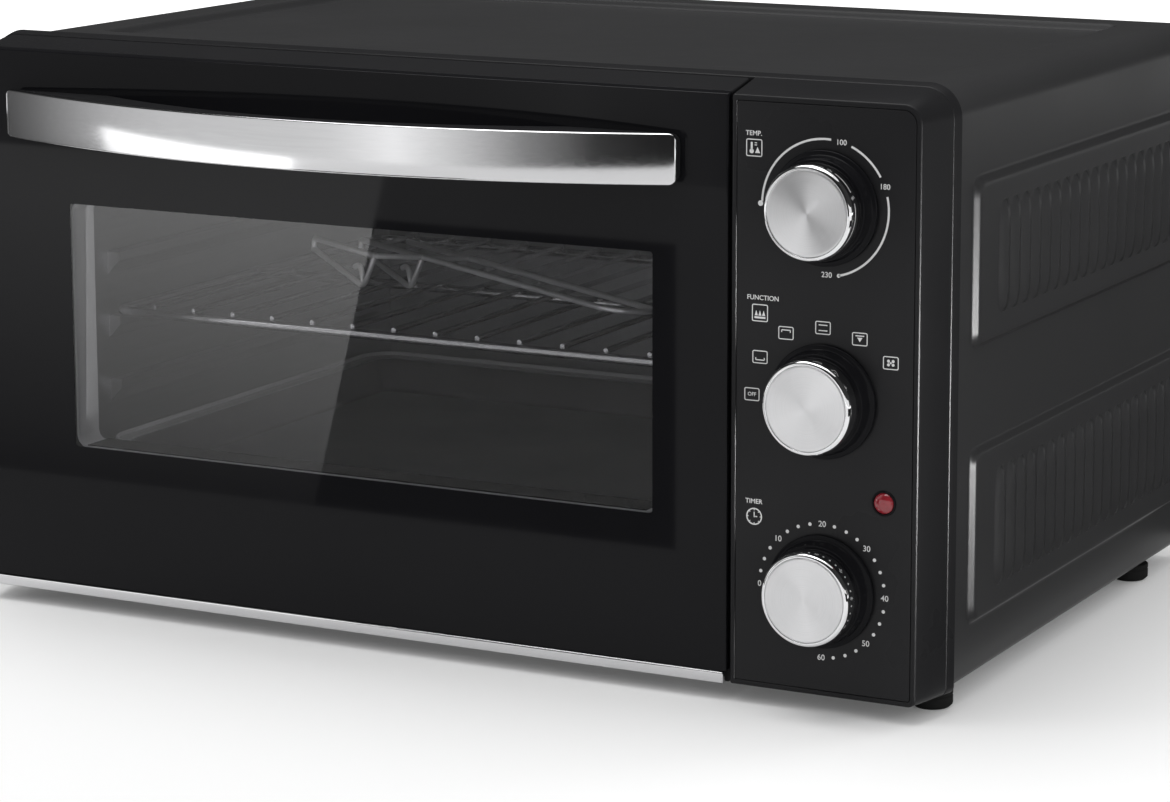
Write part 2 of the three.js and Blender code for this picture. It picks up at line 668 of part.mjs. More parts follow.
function outerWrap() {
  const corners = [CASE_LOW_CORNER, CASE_LOW_CORNER, CASE_CORNER, CASE_CORNER];
  const innerCorners = corners.map((corner) => corner - SHEET);
  const outline = roundedOutline(-CASE_HALF, CASE_HALF, CASE_LIFT, CASE_TOP, corners);
  const innerHalf = CASE_HALF - SHEET;
  const floor = CASE_LIFT + SHEET;
  const roof = CASE_TOP - SHEET;
  const innerOutline = roundedOutline(-innerHalf, innerHalf, floor, roof, innerCorners);
  let outer = prism('y', outline, CASE_FRONT, CASE_BACK);
  let inner = prism('y', innerOutline, CASE_FRONT - OVERRUN, CASE_BACK - SHEET);

  const recessHalf = CASE_HALF - RECESS_MARGIN;
  const recess = [-recessHalf, recessHalf, RECESS_FRONT, RECESS_BACK, RECESS_CORNER];
  const bevelShift = SHEET * Math.tan(Math.PI / 8);
  outer = cut(outer, pressed('z', recess, CASE_TOP, CASE_TOP - RECESS_DEPTH, OVERRUN));
  inner = cut(inner, pressed('z', grownRim(recess, bevelShift), roof, roof - RECESS_DEPTH, OVERRUN));

  const fields = [[UPPER_FIELD_LOW, UPPER_FIELD_HIGH], [LOWER_FIELD_LOW, LOWER_FIELD_HIGH]];
  for (const side of [-1, 1]) {
    for (const [low, high] of fields) {
      const rim = [FIELD_FRONT, FIELD_BACK, low, high, FIELD_CORNER];
      const face = side * CASE_HALF;
      const back = side * (CASE_HALF - SHEET);
      outer = outer.add(pressed('x', rim, face, face + side * FIELD_RISE, SHEET / 2));
      inner = inner.add(pressed('x', grownRim(rim, -bevelShift), back, back + side * FIELD_RISE, OVERRUN));
      const middle = (low + high) / 2;
      const length = high - low - 2 * LOUVRE_END_ROOM;
      const raised = CASE_HALF + FIELD_RISE;
      for (let index = 0; index < LOUVRE_COUNT; index += 1) {
        const slit = LOUVRE_FIRST_BACK + index * LOUVRE_PITCH;
        outer = outer.add(louvre(side, raised, slit, middle, length, 0, SHEET / 2, 0));
        const hollow = louvre(side, raised, slit, middle, length, LOUVRE_SHEET, SHEET + OVERRUN, OVERRUN);
        inner = inner.add(hollow);
      }
    }
  }

  const flangeEdge = CASE_HALF - CASE_FLANGE;
  const flangeBack = CASE_BACK - REAR_FLANGE;
  const under = CASE_LIFT - OVERRUN;
  const underside = box(-flangeEdge, flangeEdge, CASE_FRONT - OVERRUN, flangeBack, under, floor + SHEET);
  const rearHalf = CASE_HALF - REAR_FLANGE;
  const rearLow = CASE_LIFT + REAR_FLANGE;
  const rearHigh = CASE_TOP - REAR_FLANGE;
  const rearOutline = evenOutline(-rearHalf, rearHalf, rearLow, rearHigh, CASE_CORNER - REAR_FLANGE);
  const rear = prism('y', rearOutline, CASE_BACK - 2 * SHEET, CASE_BACK + OVERRUN);
  return cut(outer, inner, underside, rear, ...stemHoles(under, FOOT_STEM_TOP));
}

function footPlaces() {
  const left = -CASE_HALF + FOOT_LEFT_INSET;
  const right = CASE_HALF - FOOT_RIGHT_INSET;
  return [[left, FOOT_FRONT_Y], [right, FOOT_FRONT_Y], [left, FOOT_BACK_Y], [right, FOOT_BACK_Y]];
}

function stemHoles(from, to) {
  return footPlaces().map(([x, y]) => rod('z', x, y, FOOT_STEM_RADIUS + GAP, from, to));
}

// The feet are turned about Z, so their profile is drawn about Y and stood up.
function foot(x, y) {
  const plate = FRONT_LIFT - GAP;
  const collar = onFlange(x) ? CASE_LIFT - GAP : CASE_LIFT + SHEET;
  const profile = [
    [0, 0],
    [FOOT_TOE_RADIUS, 0],
    [FOOT_RADIUS, FOOT_RADIUS - FOOT_TOE_RADIUS],
    [FOOT_RADIUS, plate],
    [FOOT_COLLAR_RADIUS, plate],
    [FOOT_COLLAR_RADIUS, collar],
    [FOOT_STEM_RADIUS, collar],
    [FOOT_STEM_RADIUS, FOOT_STEM_TOP],
    [0, FOOT_STEM_TOP],
  ];
  const points = profile.map(([radius, z]) => new THREE.Vector2(radius, z));
  const geometry = new THREE.LatheGeometry(points, ROUND_SIDES);
  geometry.rotateX(Math.PI / 2);
  geometry.translate(x, y, 0);
  return solid(geometry);
}

function onFlange(x) {
  return Math.abs(x) > CASE_HALF - CASE_FLANGE;
}

// A row of upright slots, centred on a height, cut through a plate that faces Y.
function rearSlots(middle, from, to) {
  const slots = [];
  for (let index = 0; index < REAR_SLOT_COUNT; index += 1) {
    const x = SLOT_FIRST_X + index * SLOT_PITCH;
    const half = SLOT_LENGTH / 2;
    slots.push(box(x - SLOT_WIDTH / 2, x + SLOT_WIDTH / 2, from, to, middle - half, middle + half));
  }
  return slots;
}

function rearPanel() {
  const back = CASE_BACK - SHEET - GAP;
  const front = back - SHEET;
  const low = CASE_LIFT + SHEET + GAP;
  const high = CASE_TOP - SHEET - GAP;
  const outline = evenOutline(-CASE_INNER, CASE_INNER, low, high, CASE_CORNER);
  const [from, to] = [front - OVERRUN, back + OVERRUN];
  const slots = [REAR_SLOT_LOW_Z, REAR_SLOT_HIGH_Z].flatMap((z) => rearSlots(z, from, to));
  const glandHole = rod('y', GLAND_X, GLAND_Z, GLAND_NECK_RADIUS + GAP, from, to);
  return cut(prism('y', outline, front, back), ...slots, glandHole);
}

function basePlate() {
  const low = CASE_LIFT + SHEET + GAP;
  const front = CASE_FRONT + GAP;
  const back = CASE_BACK - 2 * SHEET - 2 * GAP;
  const [from, to] = [low - OVERRUN, low + SHEET + OVERRUN];
  const slots = [BASE_SLOT_FRONT_Y, BASE_SLOT_BACK_Y].flatMap((y) => {
    const row = [];
    for (let index = 0; index < BASE_SLOT_COUNT; index += 1) {
      const left = SLOT_FIRST_X + index * SLOT_PITCH - SLOT_WIDTH / 2;
      row.push(box(left, left + SLOT_WIDTH, y - SLOT_LENGTH / 2, y + SLOT_LENGTH / 2, from, to));
    }
    return row;
  });
  const plate = prism('z', evenOutline(-BASE_HALF, BASE_HALF, front, back, SHARP_CORNER), low, low + SHEET);
  return cut(plate, ...slots, ...stemHoles(from, to));
}

// The knobs' and the lamp's places on the panel.
function knobHeights() {
  return [0, 1, 2].map((index) => KNOB_TOP_Z - index * KNOB_PITCH);
}

function shaftHoles(radius, from, to) {
  return knobHeights().map((z) => rod('y', KNOB_X, z, radius, from, to));
}

function frontFrame() {
  const outer = loft('y', [
    { at: FRAME_FRONT, outline: frontOutline(FRAME_FRONT) },
    { at: FRONT_DEPTH, outline: frontOutline(FRONT_DEPTH) },
  ]);
  const pocketBack = FRONT_DEPTH + OVERRUN;
  const pocket = loft('y', [
    { at: FRAME_BACK_FACE, outline: frontOutline(FRAME_BACK_FACE, FRAME_SHEET) },
    { at: pocketBack, outline: frontOutline(pocketBack, FRAME_SHEET) },
  ]);
  const mouthOutline = evenOutline(CAVITY_LEFT, CAVITY_RIGHT, CAVITY_LOW, CAVITY_HIGH, CAVITY_CORNER);
  const mouth = prism('y', mouthOutline, FRAME_FRONT - OVERRUN, FRONT_DEPTH);
  const bushings = shaftHoles(BUSHING_RADIUS + GAP, FRAME_FRONT - OVERRUN, FRONT_DEPTH);
  const leads = rod('y', LENS_X, LENS_Z, LENS_RADIUS, FRAME_FRONT - OVERRUN, FRONT_DEPTH);
  const [from, to] = [FRAME_FRONT - OVERRUN, FRAME_BACK_FACE + OVERRUN];
  const slots = [HINGE_LEFT_X, HINGE_RIGHT_X].map((x) => {
    const half = BRACKET_THICKNESS / 2 + GAP;
    const rise = BRACKET_ARM_RISE + GAP;
    return box(x - half, x + half, from, to, HINGE_Z - rise, HINGE_Z + rise);
  });
  return cut(outer, pocket, mouth, ...bushings, leads, ...slots);
}

function controlPanel() {
  const outer = loft('y', [
    { at: 0, outline: panelOutline(0) },
    { at: PANEL_BACK, outline: panelOutline(PANEL_BACK) },
  ]);
  const pocketBack = PANEL_BACK + OVERRUN;
  const pocket = loft('y', [
    { at: PANEL_WALL, outline: panelOutline(PANEL_WALL, PANEL_WALL) },
    { at: pocketBack, outline: panelOutline(pocketBack, PANEL_WALL) },
  ]);
  const overlayPocket = prism('y', panelOutline(0, OVERLAY_MARGIN), -OVERRUN, OVERLAY_THICKNESS + GAP);
  const holes = shaftHoles(BUSHING_RADIUS + GAP, 0, PANEL_WALL + OVERRUN);
  const lensHole = rod('y', LENS_X, LENS_Z, LENS_RADIUS + GAP, 0, PANEL_WALL + OVERRUN);
  return cut(outer, pocket, overlayPocket, ...holes, lensHole);
}

function panelOverlay() {
  const sheet = prism('y', panelOutline(0, OVERLAY_MARGIN + GAP), 0, OVERLAY_THICKNESS);
  const holes = shaftHoles(BUSHING_RADIUS + GAP, -OVERRUN, OVERLAY_THICKNESS + OVERRUN);
  const lensHole = rod('y', LENS_X, LENS_Z, LENS_RADIUS + GAP, -OVERRUN, OVERLAY_THICKNESS + OVERRUN);
  return cut(sheet, ...holes, lensHole);
}

// A side wall of the cavity, with its guide ridges pressed inwards.
function cavitySide(face, outward) {
  const low = CAVITY_LOW - SHEET;
  const high = CAVITY_HIGH + SHEET;
  const far = face + outward * SHEET;
  let wall = box(Math.min(face, far), Math.max(face, far), CAVITY_FRONT, CAVITY_BACK, low, high);
  for (let index = 0; index < GUIDE_COUNT; index += 1) {
    const middle = GUIDE_FIRST_Z + index * GUIDE_PITCH;
    const ridge = (reach, half, flat, root) => [
      new THREE.Vector2(root, middle - half),
      new THREE.Vector2(face - outward * reach, middle + half - flat),
      new THREE.Vector2(face - outward * reach, middle + half),
      new THREE.Vector2(root, middle + half),
    ];
    const half = GUIDE_HEIGHT / 2;
    const hollowHalf = half - SHEET;
    const hollowFlat = GUIDE_FLAT - SHEET;
    const outline = ridge(GUIDE_REACH, half, GUIDE_FLAT, face + outward * SHEET / 2);
    wall = wall.add(prism('y', outline, GUIDE_FRONT, GUIDE_BACK));
    const hollow = ridge(GUIDE_REACH - SHEET, hollowHalf, hollowFlat, far + outward * OVERRUN);
    wall = cut(wall, prism('y', hollow, GUIDE_FRONT + SHEET, GUIDE_BACK - SHEET));
  }
  return wall;
}

function heaterHoles() {
  const holes = [];
  const [from, to] = [CAVITY_RIGHT - OVERRUN, CAVITY_RIGHT + SHEET + OVERRUN];
  for (const y of [HEATER_FRONT_Y, HEATER_BACK_Y]) {
    for (const z of [UPPER_HEATER_Z, LOWER_HEATER_Z]) {
      holes.push(rod('x', y, z, HEATER_RADIUS + GAP, from, to, WIRE_SIDES));
    }
  }
  return holes;
}

// Upright air slots in the right wall, between the ridges and within the fan's circle.
function fanVents() {
  const vents = [];
  for (let row = 0; row < GUIDE_COUNT; row += 1) {
    const z = GUIDE_FIRST_Z + (row + 1 / 2) * GUIDE_PITCH;
    for (let column = 0; column < VENT_COUNT; column += 1) {
      const y = FAN_Y + (column - (VENT_COUNT - 1) / 2) * VENT_PITCH;
      const reach = Math.hypot(Math.abs(y - FAN_Y) + VENT_WIDTH / 2, Math.abs(z - FAN_Z) + VENT_HEIGHT / 2);
      if (reach < VENT_FIELD_RADIUS) {
        const [y0, y1] = [y - VENT_WIDTH / 2, y + VENT_WIDTH / 2];
        const [z0, z1] = [z - VENT_HEIGHT / 2, z + VENT_HEIGHT / 2];
        vents.push(box(CAVITY_RIGHT - OVERRUN, CAVITY_RIGHT + SHEET + OVERRUN, y0, y1, z0, z1));
      }
    }
  }
  return vents;
}

function heater(height) {
  const right = CAVITY_RIGHT + HEATER_TAIL;
  const corners = [
    new THREE.Vector3(right, HEATER_FRONT_Y, height),
    new THREE.Vector3(HEATER_LEFT, HEATER_FRONT_Y, height),
    new THREE.Vector3(HEATER_LEFT, HEATER_BACK_Y, height),
    new THREE.Vector3(right, HEATER_BACK_Y, height),
  ];
  return wire(bentPath(corners, HEATER_BEND, HEATER_BEND_STEPS), HEATER_RADIUS);
}

function heaterPlate(height) {
  const left = CAVITY_RIGHT + SHEET + GAP;
  const right = left + FRAME_SHEET;
  const outline = evenOutline(
    HEATER_FRONT_Y - HEATER_PLATE_MARGIN, HEATER_BACK_Y + HEATER_PLATE_MARGIN,
    height - HEATER_PLATE_HALF_HEIGHT, height + HEATER_PLATE_HALF_HEIGHT, HEATER_PLATE_HALF_HEIGHT / 2,
  );
  const holes = [HEATER_FRONT_Y, HEATER_BACK_Y].map((y) => (
    rod('x', y, height, HEATER_RADIUS + GAP, left - OVERRUN, right + OVERRUN, WIRE_SIDES)
  ));
  return cut(prism('x', outline, left, right), ...holes);
}

const HOUSING_LEFT = CAVITY_RIGHT + SHEET + GAP;
const HOUSING_RIGHT = HOUSING_LEFT + FAN_HOUSING_DEPTH;
const WHEEL_BACK = HOUSING_RIGHT - SHEET - FAN_WHEEL_CLEARANCE;
const MOTOR_LEFT = HOUSING_RIGHT + GAP;

function fanHousing() {
  const outer = rod('x', FAN_Y, FAN_Z, FAN_HOUSING_RADIUS, HOUSING_LEFT, HOUSING_RIGHT, KNOB_SIDES);
  const bottom = HOUSING_RIGHT - SHEET;
  const bore = FAN_HOUSING_RADIUS - SHEET;
  const inside = rod('x', FAN_Y, FAN_Z, bore, HOUSING_LEFT - OVERRUN, bottom, KNOB_SIDES);
  const shaftHole = rod('x', FAN_Y, FAN_Z, FAN_SHAFT_RADIUS + GAP, HOUSING_LEFT, HOUSING_RIGHT + OVERRUN);
  return cut(outer, inside, shaftHole);
}

function fanWheel() {
  const bladeFront = WHEEL_BACK - FAN_DISC - FAN_BLADE_DEPTH;
  const disc = rod('x', FAN_Y, FAN_Z, FAN_WHEEL_RADIUS, WHEEL_BACK - FAN_DISC, WHEEL_BACK, KNOB_SIDES);
  const hub = rod('x', FAN_Y, FAN_Z, FAN_HUB_RADIUS, bladeFront, WHEEL_BACK);
  let wheel = disc.add(hub);
  for (let index = 0; index < FAN_BLADE_COUNT; index += 1) {
    const length = FAN_WHEEL_RADIUS - FAN_BLADE_THICKNESS - FAN_HUB_RADIUS / 2;
    const blade = new THREE.BoxGeometry(FAN_BLADE_DEPTH + FAN_DISC / 2, FAN_BLADE_THICKNESS, length);
    blade.translate(bladeFront + (FAN_BLADE_DEPTH + FAN_DISC / 2) / 2, 0, FAN_HUB_RADIUS / 2 + length / 2);
    blade.rotateX(Math.PI * 2 * index / FAN_BLADE_COUNT);
    blade.translate(0, FAN_Y, FAN_Z);
    wheel = wheel.add(solid(blade));
  }
  const bore = rod('x', FAN_Y, FAN_Z, FAN_SHAFT_RADIUS + GAP, bladeFront + FAN_DISC, WHEEL_BACK + OVERRUN);
  return cut(wheel, bore);
}

function fanShaft() {
  const front = WHEEL_BACK - FAN_BLADE_DEPTH + GAP;
  return rod('x', FAN_Y, FAN_Z, FAN_SHAFT_RADIUS, front, MOTOR_LEFT + FAN_SHAFT_DEPTH - GAP);
}

function fanMotor() {
  const end = MOTOR_LEFT + MOTOR_LENGTH;
  const body = rod('x', FAN_Y, FAN_Z, MOTOR_RADIUS, MOTOR_LEFT, end, KNOB_SIDES);
  const tail = rod('x', FAN_Y, FAN_Z, FAN_HUB_RADIUS, end - OVERRUN, end + MOTOR_TAIL);
  const boreEnd = MOTOR_LEFT + FAN_SHAFT_DEPTH;
  const bore = rod('x', FAN_Y, FAN_Z, FAN_SHAFT_RADIUS + GAP, MOTOR_LEFT - OVERRUN, boreEnd);
  return cut(body.add(tail), bore);
}

// A control behind the front frame: its body, and a bushing that reaches out to the panel.
function control(body, height) {
  const bushing = rod('y', KNOB_X, height, BUSHING_RADIUS, BUSHING_FRONT, CAVITY_FRONT + OVERRUN);
  const boreEnd = CAVITY_FRONT + CONTROL_BORE_DEPTH;
  const bore = rod('y', KNOB_X, height, SHAFT_RADIUS + GAP, BUSHING_FRONT - OVERRUN, boreEnd);
  return cut(body.add(bushing), bore);
}

function controlBlock(height, depth) {
  const outline = evenOutline(
    KNOB_X - CONTROL_HALF_WIDTH, KNOB_X + CONTROL_HALF_WIDTH,
    height - CONTROL_HALF_HEIGHT, height + CONTROL_HALF_HEIGHT, KNOB_WALL,
  );
  return prism('y', outline, CAVITY_FRONT, CAVITY_FRONT + depth);
}

function thermostatBody(height) {
  const back = CAVITY_FRONT + CONTROL_DEPTH;
  const bulbX = KNOB_X - CONTROL_HALF_WIDTH / 2;
  const bulb = rod('y', bulbX, height, BULB_RADIUS, back - OVERRUN, back + BULB_LENGTH);
  return control(controlBlock(height, CONTROL_DEPTH).add(bulb), height);
}

function functionSwitchBody(height) {
  const back = CAVITY_FRONT + SWITCH_DEPTH;
  const plate = box(
    KNOB_X - CONTROL_HALF_WIDTH - SWITCH_WAFER, KNOB_X + CONTROL_HALF_WIDTH + SWITCH_WAFER,
    back - SWITCH_WAFER, back,
    height - CONTROL_HALF_HEIGHT - SWITCH_WAFER, height + CONTROL_HALF_HEIGHT + SWITCH_WAFER,
  );
  return control(controlBlock(height, SWITCH_DEPTH).add(plate), height);
}

function timerBody(height) {
  const back = CAVITY_FRONT + TIMER_DEPTH;
  const drum = rod('y', KNOB_X, height, TIMER_RADIUS, CAVITY_FRONT, back, KNOB_SIDES);
  const bell = rod('y', KNOB_X, height, TIMER_RADIUS / 2, back - OVERRUN, back + KNOB_HUB_RADIUS);
  return control(drum.add(bell), height);
}

// A round shaft with one flat side along the length that the knob grips.
function shaft(height) {
  const front = -KNOB_REACH + CAP_THICKNESS + KNOB_WALL + GAP;
  const back = CAVITY_FRONT + CONTROL_BORE_DEPTH - GAP;
  const bar = rod('y', KNOB_X, height, SHAFT_RADIUS, front, back);
  const past = SHAFT_RADIUS + OVERRUN;
  const flat = box(KNOB_X - past, KNOB_X + past, front - OVERRUN, -GAP, height + SHAFT_FLAT, height + past);
  return cut(bar, flat);
}

function knob(height) {
  const skirtFront = -GAP - KNOB_SKIRT_HEIGHT;
  const front = -KNOB_REACH;
  const body = turned(KNOB_X, height, [
    [0, -GAP],
    [KNOB_SKIRT_RADIUS, -GAP],
    [KNOB_SKIRT_RADIUS, -GAP - KNOB_SKIRT_HEIGHT / 2],
    [KNOB_BASE_RADIUS + KNOB_EDGE / 2, skirtFront],
    [KNOB_BASE_RADIUS, skirtFront - KNOB_EDGE / 2],
    [KNOB_FACE_RADIUS, front + KNOB_EDGE],
    [KNOB_FACE_RADIUS - KNOB_EDGE, front],
    [0, front],
  ], KNOB_SIDES);
  const floor = front + CAP_THICKNESS + KNOB_WALL;
  const hollow = turned(KNOB_X, height, [
    [KNOB_HUB_RADIUS, OVERRUN],
    [KNOB_BASE_RADIUS - KNOB_WALL, OVERRUN],
    [KNOB_FACE_RADIUS - KNOB_WALL, floor],
    [KNOB_HUB_RADIUS, floor],
    [KNOB_HUB_RADIUS, OVERRUN],
  ], ROUND_SIDES);
  const seat = front + CAP_THICKNESS - CAP_PROUD + GAP;
  const capSeat = rod('y', KNOB_X, height, CAP_RADIUS + GAP, front - OVERRUN, seat, KNOB_SIDES);
  const bore = rod('y', KNOB_X, height, SHAFT_RADIUS + GAP, floor, OVERRUN);
  const beside = SHAFT_RADIUS + OVERRUN;
  const keyLow = height + SHAFT_FLAT + GAP;
  const key = box(KNOB_X - beside, KNOB_X + beside, floor, OVERRUN, keyLow, height + beside);
  return cut(body, hollow, capSeat, bore.subtract(key));
}

function knobCap(height) {
  const front = -KNOB_REACH - CAP_PROUD;
  return turned(KNOB_X, height, [
    [0, front],
    [CAP_RADIUS - CAP_EDGE, front],
    [CAP_RADIUS, front + CAP_EDGE],
    [CAP_RADIUS, front + CAP_THICKNESS],
    [0, front + CAP_THICKNESS],
  ], KNOB_SIDES);
}

function indicatorLens() {
  const dome = LENS_DOME_SHARES.map(([across, proud]) => [LENS_RADIUS * across, -LENS_PROUD * proud]);
  return turned(LENS_X, LENS_Z, [...dome, [LENS_RADIUS, LENS_LENGTH], [0, LENS_LENGTH]], ROUND_SIDES);
}

function lampHolder() {
  const front = PANEL_WALL + GAP;
  const body = rod('y', LENS_X, LENS_Z, LENS_RADIUS + GAP + LAMP_WALL, front, PANEL_BACK);
  const socket = rod('y', LENS_X, LENS_Z, LENS_RADIUS + GAP, front - OVERRUN, LENS_LENGTH + GAP);
  return cut(body, socket);
}

const GLASS_LOW = DOOR_LOW + STRIP_HEIGHT + GAP;
const FRAME_FACE = GLASS_THICKNESS + GAP;

function doorGlass() {
  return loft('y', [
    { at: 0, outline: doorOutline(0, GLASS_LOW) },
    { at: GLASS_THICKNESS, outline: doorOutline(GLASS_THICKNESS, GLASS_LOW) },
  ]);
}

function windowOutline(grown) {
  const [left, right] = [WINDOW_LEFT - grown, WINDOW_RIGHT + grown];
  return evenOutline(left, right, WINDOW_LOW - grown, WINDOW_HIGH + grown, WINDOW_CORNER + grown);
}

function doorFrame() {
  const outer = loft('y', [
    { at: FRAME_FACE, outline: doorOutline(FRAME_FACE, DOOR_LOW) },
    { at: DOOR_BACK, outline: doorOutline(DOOR_BACK, DOOR_LOW) },
  ]);
  const webBack = FRAME_FACE + DOOR_WALL;
  const pocketBack = DOOR_BACK + OVERRUN;
  const pocket = loft('y', [
    { at: webBack, outline: doorOutline(webBack, DOOR_LOW, DOOR_WALL) },
    { at: pocketBack, outline: doorOutline(pocketBack, DOOR_LOW, DOOR_WALL) },
  ]);
  const aperture = prism('y', windowOutline(SHEET + GAP), FRAME_FACE - OVERRUN, webBack + OVERRUN);
  let frame = cut(outer, pocket, aperture);
  for (const x of [HINGE_LEFT_X, HINGE_RIGHT_X]) {
    const boss = box(x - BOSS_HALF_WIDTH, x + BOSS_HALF_WIDTH, FRAME_FACE, DOOR_BACK, DOOR_LOW, BOSS_TOP);
    frame = frame.add(boss);
    const half = BRACKET_THICKNESS / 2 + NOTCH_ROOM;
    const [low, high] = [DOOR_LOW - OVERRUN, HINGE_Z + NOTCH_RADIUS];
    const notch = box(x - half, x + half, FRAME_FACE - OVERRUN, pocketBack, low, high);
    const reach = PIN_HALF_LENGTH + GAP;
    const bore = rod('x', HINGE_Y, HINGE_Z, PIN_RADIUS + GAP, x - reach, x + reach, ROUND_SIDES);
    frame = cut(frame, notch, bore);
  }
  return frame;
}

// The bright sheet inside the door: a flat back with a pressed bead, and a tunnel round the window.
function doorInnerPanel() {
  const front = INNER_PANEL_BACK - SHEET;
  const margin = DOOR_WALL + GAP;
  const past = INNER_PANEL_BACK + OVERRUN;
  const lowCut = box(FRONT_LEFT - FLARE, DOOR_RIGHT, front - OVERRUN, past, 0, INNER_PANEL_LOW);
  const plate = cut(prism('y', doorOutline(front, DOOR_LOW, margin), front, INNER_PANEL_BACK), lowCut);
  const tunnel = prism('y', windowOutline(SHEET), FRAME_FACE + GAP, INNER_PANEL_BACK);
  const opening = prism('y', windowOutline(0), FRAME_FACE - OVERRUN, past);
  const beadFrom = INNER_BEAD_MARGIN;
  const beadTo = INNER_BEAD_MARGIN + INNER_BEAD_WIDTH;
  const bead = (grow, back, depth) => cut(
    prism('y', windowOutline(beadTo - grow), back - depth, back),
    prism('y', windowOutline(beadFrom + grow), back - depth - OVERRUN, back + OVERRUN),
  );
  const ridge = bead(0, front + OVERRUN / 2, INNER_BEAD_DEPTH);
  const groove = bead(SHEET, INNER_PANEL_BACK + OVERRUN, INNER_BEAD_DEPTH);
  return cut(join(plate, tunnel, ridge), opening, groove);
}

function doorTrimStrip() {
  const right = DOOR_RIGHT - STRIP_END_ROOM;
  const high = DOOR_LOW + STRIP_HEIGHT;
  const section = roundedOutline(-STRIP_PROUD, GLASS_THICKNESS, DOOR_LOW, high, [
    SHARP_CORNER, SHARP_CORNER / 2, SHARP_CORNER / 2, SHARP_CORNER,
  ]);
  return prism('x', section, FRONT_LEFT, right);
}

// The arc that the handle follows, seen from above, as offset points between two half lengths.
function bowRadius(halfLength, rise) {
  return (halfLength * halfLength + rise * rise) / (2 * rise);
}

function bowPoints(halfLength, rise, frontY) {
  const radius = bowRadius(halfLength, rise);
  const half = Math.asin(halfLength / radius);
  const down = -Math.PI / 2;
  return arcPoints(HANDLE_X, frontY + radius, radius, down - half, down + half, ARC_STEPS);
}

function handleBar() {
  const rise = HANDLE_REACH - HANDLE_END_REACH;
  const front = bowPoints(HANDLE_HALF_LENGTH, rise, -HANDLE_REACH);
  const back = bowPoints(HANDLE_HALF_LENGTH, rise, -HANDLE_REACH + BAR_THICKNESS).reverse();
  const plate = prism('z', [...front, ...back], HANDLE_LOW, HANDLE_HIGH);
  const left = HANDLE_X - HANDLE_HALF_LENGTH;
  const right = HANDLE_X + HANDLE_HALF_LENGTH;
  const outline = evenOutline(left, right, HANDLE_LOW, HANDLE_HIGH, HANDLE_CORNER);
  return plate.intersect(prism('y', outline, -HANDLE_REACH - OVERRUN, 0));
}

function handleBody() {
  const rise = HANDLE_REACH - HANDLE_END_REACH;
  const half = HANDLE_HALF_LENGTH - BODY_SHY;
  const barBack = -HANDLE_REACH + BAR_THICKNESS + GAP;
  const front = bowPoints(HANDLE_HALF_LENGTH, rise, barBack);
  const gapRise = -GAP - (barBack + BODY_THICKNESS);
  const fingers = bowPoints(FINGER_HALF_LENGTH, gapRise, -GAP - gapRise).reverse();
  const left = HANDLE_X - HANDLE_HALF_LENGTH;
  const right = HANDLE_X + HANDLE_HALF_LENGTH;
  const outline = [...front, new THREE.Vector2(right, -GAP), ...fingers, new THREE.Vector2(left, -GAP)];
  const low = HANDLE_LOW + BODY_SHY;
  const high = HANDLE_HIGH - BODY_SHY;
  const body = prism('z', outline, low, high);
  const face = evenOutline(HANDLE_X - half, HANDLE_X + half, low, high, HANDLE_CORNER);
  return body.intersect(prism('y', face, -HANDLE_REACH, 0));
}

function hingeBracket(x) {
  const [from, to] = [Math.PI / 4, Math.PI * 7 / 4];
  const nose = arcPoints(HINGE_Y, HINGE_Z, BRACKET_NOSE_RADIUS, from, to, ROUND_SIDES);
  const footFront = FRAME_BACK_FACE + GAP;
  const armBack = footFront + BRACKET_FOOT_THICKNESS;
  const armStart = HINGE_Y + BRACKET_NOSE_RADIUS;
  const arm = [
    new THREE.Vector2(armStart, HINGE_Z - BRACKET_ARM_RISE),
    new THREE.Vector2(armBack, HINGE_Z - BRACKET_ARM_RISE),
    new THREE.Vector2(armBack, HINGE_Z + BRACKET_ARM_RISE),
    new THREE.Vector2(armStart, HINGE_Z + BRACKET_ARM_RISE),
  ];
  const half = BRACKET_THICKNESS / 2;
  const plate = prism('x', [...nose, ...arm], x - half, x + half);
  const wide = BRACKET_FOOT_HALF_WIDTH;
  const footPlate = box(x - wide, x + wide, footFront, armBack, BRACKET_FOOT_LOW, BRACKET_FOOT_HIGH);
  const bore = rod('x', HINGE_Y, HINGE_Z, PIN_RADIUS + GAP, x - half - OVERRUN, x + half + OVERRUN);
  return cut(plate.add(footPlate), bore);
}

function hingePin(x) {
  return rod('x', HINGE_Y, HINGE_Z, PIN_RADIUS, x - PIN_HALF_LENGTH, x + PIN_HALF_LENGTH, ROUND_SIDES);
}

const RACK_Z = RACK_GUIDE_Z + GUIDE_HEIGHT / 2 + GAP + RACK_WIRE_RADIUS;
const RACK_TOP = RACK_Z + RACK_WIRE_RADIUS + 2 * RACK_THIN_RADIUS - RACK_WELD;

// The rack: a frame of thick wire, thin wires over it from front to back, and one thick wire below them.
function wireRack() {
  const left = CAVITY_LEFT + RACK_SIDE_ROOM + RACK_WIRE_RADIUS;
  const right = CAVITY_RIGHT - RACK_SIDE_ROOM - RACK_WIRE_RADIUS;
  const outline = evenOutline(left, right, RACK_FRONT, RACK_BACK, RACK_CORNER);
  let rack = wireRing(outline, RACK_Z, RACK_WIRE_RADIUS);
  rack = rack.add(rod('x', (RACK_FRONT + RACK_BACK) / 2, RACK_Z, RACK_WIRE_RADIUS, left, right, WIRE_SIDES));
  const pitch = (right - left) / (RACK_THIN_COUNT + 1);
  const thinZ = RACK_TOP - RACK_THIN_RADIUS;
  for (let index = 1; index <= RACK_THIN_COUNT; index += 1) {
    const x = left + index * pitch;
    rack = rack.add(rod('y', x, thinZ, RACK_THIN_RADIUS, RACK_FRONT, RACK_BACK, WIRE_SIDES));
  }
  return rack;
}

